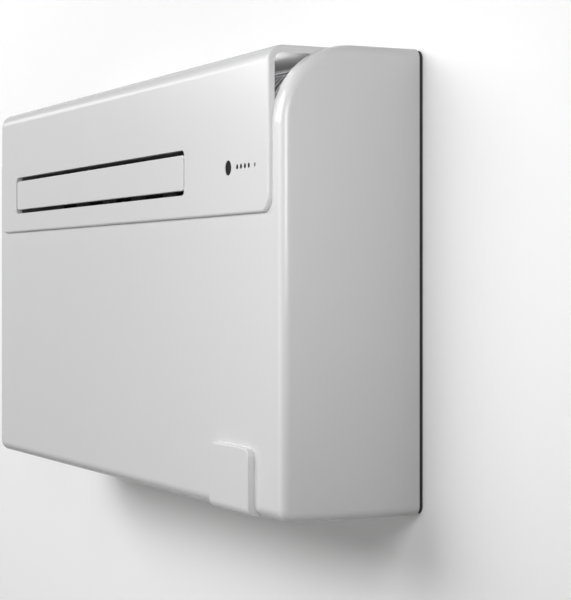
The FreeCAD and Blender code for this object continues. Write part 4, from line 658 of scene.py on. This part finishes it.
class AIRCON_OT_filters(bpy.types.Operator):
    """Weaves the nets of both filters and finishes their frames"""
    bl_idname = "aircon.filters"
    bl_label = "Weave the filters"

    def execute(self, context):
        look, sizes = context.scene.aircon_inner, context.scene.aircon_fine
        paint(dull_plastic("filter_plastic", look.filter_frame), "filter_left", "filter_right")
        thread = dull_plastic("net_thread", look.net, roughness=0.6)
        for side in ("left", "right"):
            node = f"filter_{side}_mesh"
            low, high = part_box(node)
            depth, levels = (low.y + high.y) / 2, (low.z, high.z)
            edges = sorted({round(vertex.co.x, SAME_DIGITS) for vertex in NODES[node].data.vertices})
            panes = list(zip(edges[0::2], edges[1::2]))
            net = add_piece(f"filter_{side}_net",
                            lambda made: net_strands(made, panes, depth, levels, sizes), thread)
            settle(net, f"filter_{side}_body", "mesh_grey", node)
        return {"FINISHED"}


def bead_lines(sizes):
    """Start and end of every bead on the back panel, across and up."""
    low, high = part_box("back_panel")
    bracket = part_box("wall_bracket")[1]
    collar_low, collar_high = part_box("exhaust_collar")
    outer = high.x - sizes.bead_margin
    lines = []
    level = bracket.z + sizes.bead_gap
    while level < high.z - sizes.bead_margin:
        lines.append(((-outer, level), (outer, level)))
        level += sizes.bead_pitch
    inner = collar_high.x + sizes.bead_gap
    level = low.z + sizes.bead_margin + sizes.bead_gap
    while level < bracket.z - sizes.bead_gap:
        lines.append(((inner, level), (outer, level)))
        lines.append(((-inner, level), (-outer, level)))
        level += sizes.bead_pitch
    lines.append(((0.0, collar_low.z), (0.0, collar_high.z)))
    return lines


def press_bead(made, start, end, face, sizes):
    """A long smooth swelling with round ends, its foot sunk in the sheet."""
    start, end = Vector(start), Vector(end)
    along = (end - start).normalized()
    across = Vector((-along.y, along.x))
    rows = []
    for width, rise in BEAD_PROFILE:
        outline = []
        for middle, reach in ((end, sizes.bead_half * width), (start, -sizes.bead_half * width)):
            for step in range(CAP_STEPS + 1):
                turn = math.pi * step / CAP_STEPS
                flat = middle + (across * math.cos(turn) + along * math.sin(turn)) * reach
                outline.append((flat.x, face + sizes.bead_rise * rise, flat.y))
        rows.append(ring(made, outline))
    skin(made, rows)
    made.faces.new(rows[0])
    made.faces.new(rows[-1])


def screw_places(sizes):
    """Screws round the back panel, across and up."""
    low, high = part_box("back_panel")
    left, right = low.x + sizes.screw_inset, high.x - sizes.screw_inset
    bottom, top = low.z + sizes.screw_inset, high.z - sizes.screw_inset
    parts = [number / SCREW_SPANS for number in range(SCREW_SPANS + 1)]
    rows = [(left + (right - left) * part, level) for part in parts for level in (bottom, top)]
    sides = [(place, bottom + (top - bottom) * part) for part in parts[1:-1] for place in (left, right)]
    return rows + sides


def add_screw(made, x, z, face, sizes):
    """A domed screw head with a cross recess."""
    rows = []
    turns = [math.tau * step / SCREW_STEPS for step in range(SCREW_STEPS)]
    for width, rise in SCREW_PROFILE:
        radius = sizes.screw_radius * width
        rows.append(ring(made, [(x + radius * math.cos(turn), face + sizes.screw_rise * rise,
                                 z + radius * math.sin(turn)) for turn in turns]))
    skin(made, rows)
    made.faces.new(rows[0])
    arm, half = sizes.screw_radius * CROSS_ARM, sizes.screw_radius * CROSS_HALF
    quarter = [(half, arm), (half, half), (arm, half)]
    cross = []
    for turn in range(4):
        cross += quarter
        quarter = [(up, -out) for out, up in quarter]
    cross_rows = [ring(made, [(x + out, face + sizes.screw_rise * rise, z + up) for out, up in cross])
                  for rise in (SCREW_PROFILE[-1][1], CROSS_FLOOR)]
    skin(made, cross_rows)
    made.faces.new(cross_rows[1])
    rims = [made.edges.get((rim[number - 1], rim[number])) for rim in (rows[-1], cross_rows[0])
            for number in range(len(rim))]
    bmesh.ops.triangle_fill(made, use_beauty=True, use_dissolve=False, edges=rims, normal=(0.0, 1.0, 0.0))


class AIRCON_OT_back(bpy.types.Operator):
    """Presses the beads of the back panel and puts in its screws"""
    bl_idname = "aircon.back"
    bl_label = "Press the back"

    def execute(self, context):
        sizes = context.scene.aircon_fine
        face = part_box("back_panel")[1].y

        def press_all(made):
            for start, end in bead_lines(sizes):
                press_bead(made, start, end, face, sizes)

        def screw_all(made):
            for x, z in screw_places(sizes):
                add_screw(made, x, z, face, sizes)

        beads = add_piece("back_beads", press_all, bpy.data.materials["zinc_sheet"], BEAD_SMOOTH)
        settle(beads, CASE, "sheet_steel")
        plated = bare_metal("screw_plate", context.scene.aircon_inner.screw, roughness=0.3)
        screws = add_piece("back_screws", screw_all, plated, SCREW_SMOOTH)
        settle(screws, CASE, "sheet_steel")
        return {"FINISHED"}


def stage_plane(name, corners, material):
    """A large flat piece of the stage."""
    mesh = bpy.data.meshes.new(name)
    mesh.from_pydata(corners, [], [range(len(corners))])
    mesh.materials.append(material)
    piece = add_object(name, mesh)


def stage_paint(name, tone, tone_seen, glow, roughness=0.9):
    """Paint that hides nothing from behind, and nothing from what the back panel mirrors at close range."""
    finish = Finish(name)
    path = finish.node("ShaderNodeLightPath")
    behind = finish.node("ShaderNodeNewGeometry").out("Backfacing")
    close = 1 - path.out("Ray Length").above(CLOSE_RANGE)
    seen = path.out("Is Camera Ray")
    finish.set(base_color=finish.mix(seen, tone, tone_seen), roughness=roughness, emission_strength=glow,
               emission_color=finish.mix(seen, BLACK, WHITE))
    clear = finish.node("ShaderNodeBsdfTransparent")
    gone = behind.most(path.out("Is Glossy Ray") * close)
    lit = Wire(finish, finish.shader.outputs[0])
    shown = finish.node("ShaderNodeMixShader", None, {0: gone, 1: lit, 2: clear})
    finish.feed(finish.tree.nodes["Material Output"].inputs["Surface"], shown)
    return finish.material


def add_lamp(name, power, size, place, target, spread, shadow):
    """A flat lamp, so wide and so high, that faces a point and spreads its light over some degrees."""
    light = bpy.data.lights.new(name, "AREA")
    light.energy = power
    light.shape = "RECTANGLE"
    light.size, light.size_y = size
    light.spread = math.radians(spread)
    light.use_shadow = shadow
    lamp = bpy.data.objects.new(name, light)
    bpy.context.scene.collection.objects.link(lamp)
    lamp.location = place
    lamp.rotation_mode = "QUATERNION"
    lamp.rotation_quaternion = (Vector(target) - Vector(place)).to_track_quat("-Z", "Y")


def light_sky(scene, look):
    """A sky that is white to the camera, and that gloss and metal mirror, brighter behind the wall."""
    world = bpy.data.worlds.new("sky")
    scene.world = world
    finish = Finish(world)
    path = finish.node("ShaderNodeLightPath")
    compass = finish.node("ShaderNodeTexCoord").out("Generated")
    way = finish.node("ShaderNodeSeparateXYZ", None, {"Vector": compass})
    behind = way.out("Y").most(0.0) * (OUTSIDE_EVEN + way.out("Z"))
    patch = finish.node("ShaderNodeVectorMath", {"operation": "DOT_PRODUCT"}, {0: compass, 1: PATCH_WAY})
    bright = (patch.out("Value") - PATCH_EDGE).most(0.0) * (look.patch / (1.0 - PATCH_EDGE))
    mirrored = path.out("Is Glossy Ray").most(path.out("Is Transmission Ray"))
    level = mirrored * (look.mirrored + bright + behind * look.outside) + path.out("Is Camera Ray")
    finish.set(color=WHITE, strength=level)


def add_camera(scene):
    """A level camera."""
    camera = bpy.data.cameras.new("camera")
    camera.lens = CAMERA_LENS
    camera.sensor_width = CAMERA_SENSOR
    camera.shift_y = CAMERA_SHIFT
    eye = bpy.data.objects.new("camera", camera)
    scene.collection.objects.link(eye)
    eye.location = CAMERA_PLACE
    eye.rotation_euler = (math.radians(90), 0.0, math.radians(CAMERA_TURN))
    scene.camera = eye


class AIRCON_OT_stage(bpy.types.Operator):
    """Sets up the wall, the floor, the light and the camera"""
    bl_idname = "aircon.stage"
    bl_label = "Set the stage"

    def execute(self, context):
        scene = context.scene
        look = scene.aircon_stage
        reach = STAGE_REACH
        stage_plane("wall", [(-reach, WALL_CLEAR, FLOOR_LEVEL), (reach, WALL_CLEAR, FLOOR_LEVEL),
                             (reach, WALL_CLEAR, reach), (-reach, WALL_CLEAR, reach)],
                    stage_paint("wall_paint", look.wall, look.wall_seen, look.wall_glow))
        stage_plane("floor", [(-reach, -reach, FLOOR_LEVEL), (reach, -reach, FLOOR_LEVEL),
                              (reach, WALL_CLEAR, FLOOR_LEVEL), (-reach, WALL_CLEAR, FLOOR_LEVEL)],
                    stage_paint("floor_paint", look.floor, look.floor, look.floor_glow))
        for name, (size, place, target, spread) in LAMPS.items():
            add_lamp(f"{name}_lamp", getattr(look, name), size, place, target, spread,
                     shadow=name not in SHADOWLESS)
        light_sky(scene, look)
        add_camera(scene)
        scene.view_settings.view_transform = "Standard"
        return {"FINISHED"}


OPERATORS = (
    AIRCON_OT_stage,
    AIRCON_OT_case,
    AIRCON_OT_display,
    AIRCON_OT_air_path,
    AIRCON_OT_machinery,
    AIRCON_OT_coils,
    AIRCON_OT_filters,
    AIRCON_OT_back,
)


class AIRCON_PT_panel(bpy.types.Panel):
    """Lists the steps and the settings"""
    bl_idname = "AIRCON_PT_panel"
    bl_label = "Air conditioner"
    bl_space_type = "VIEW_3D"
    bl_region_type = "UI"
    bl_category = "Air Conditioner"

    def draw(self, context):
        for operator in OPERATORS:
            self.layout.operator(operator.bl_idname)
        for name, group in SETTINGS.items():
            settings = getattr(context.scene, name)
            column = self.layout.column(align=True)
            for title in group.__annotations__:
                column.prop(settings, title)


CLASSES = (*SETTINGS.values(), *OPERATORS, AIRCON_PT_panel)


def register():
    for made in CLASSES:
        bpy.utils.register_class(made)
    for name, group in SETTINGS.items():
        setattr(bpy.types.Scene, name, PointerProperty(type=group))


def unregister():
    for name in SETTINGS:
        delattr(bpy.types.Scene, name)
    for made in reversed(CLASSES):
        bpy.utils.unregister_class(made)


def main():
    register()
    bpy.ops.aircon.stage()
    bpy.ops.aircon.case()
    bpy.ops.aircon.display()
    bpy.ops.aircon.air_path()
    bpy.ops.aircon.machinery()
    bpy.ops.aircon.coils()
    bpy.ops.aircon.filters()
    bpy.ops.aircon.back()


if __name__ == "__main__":
    main()
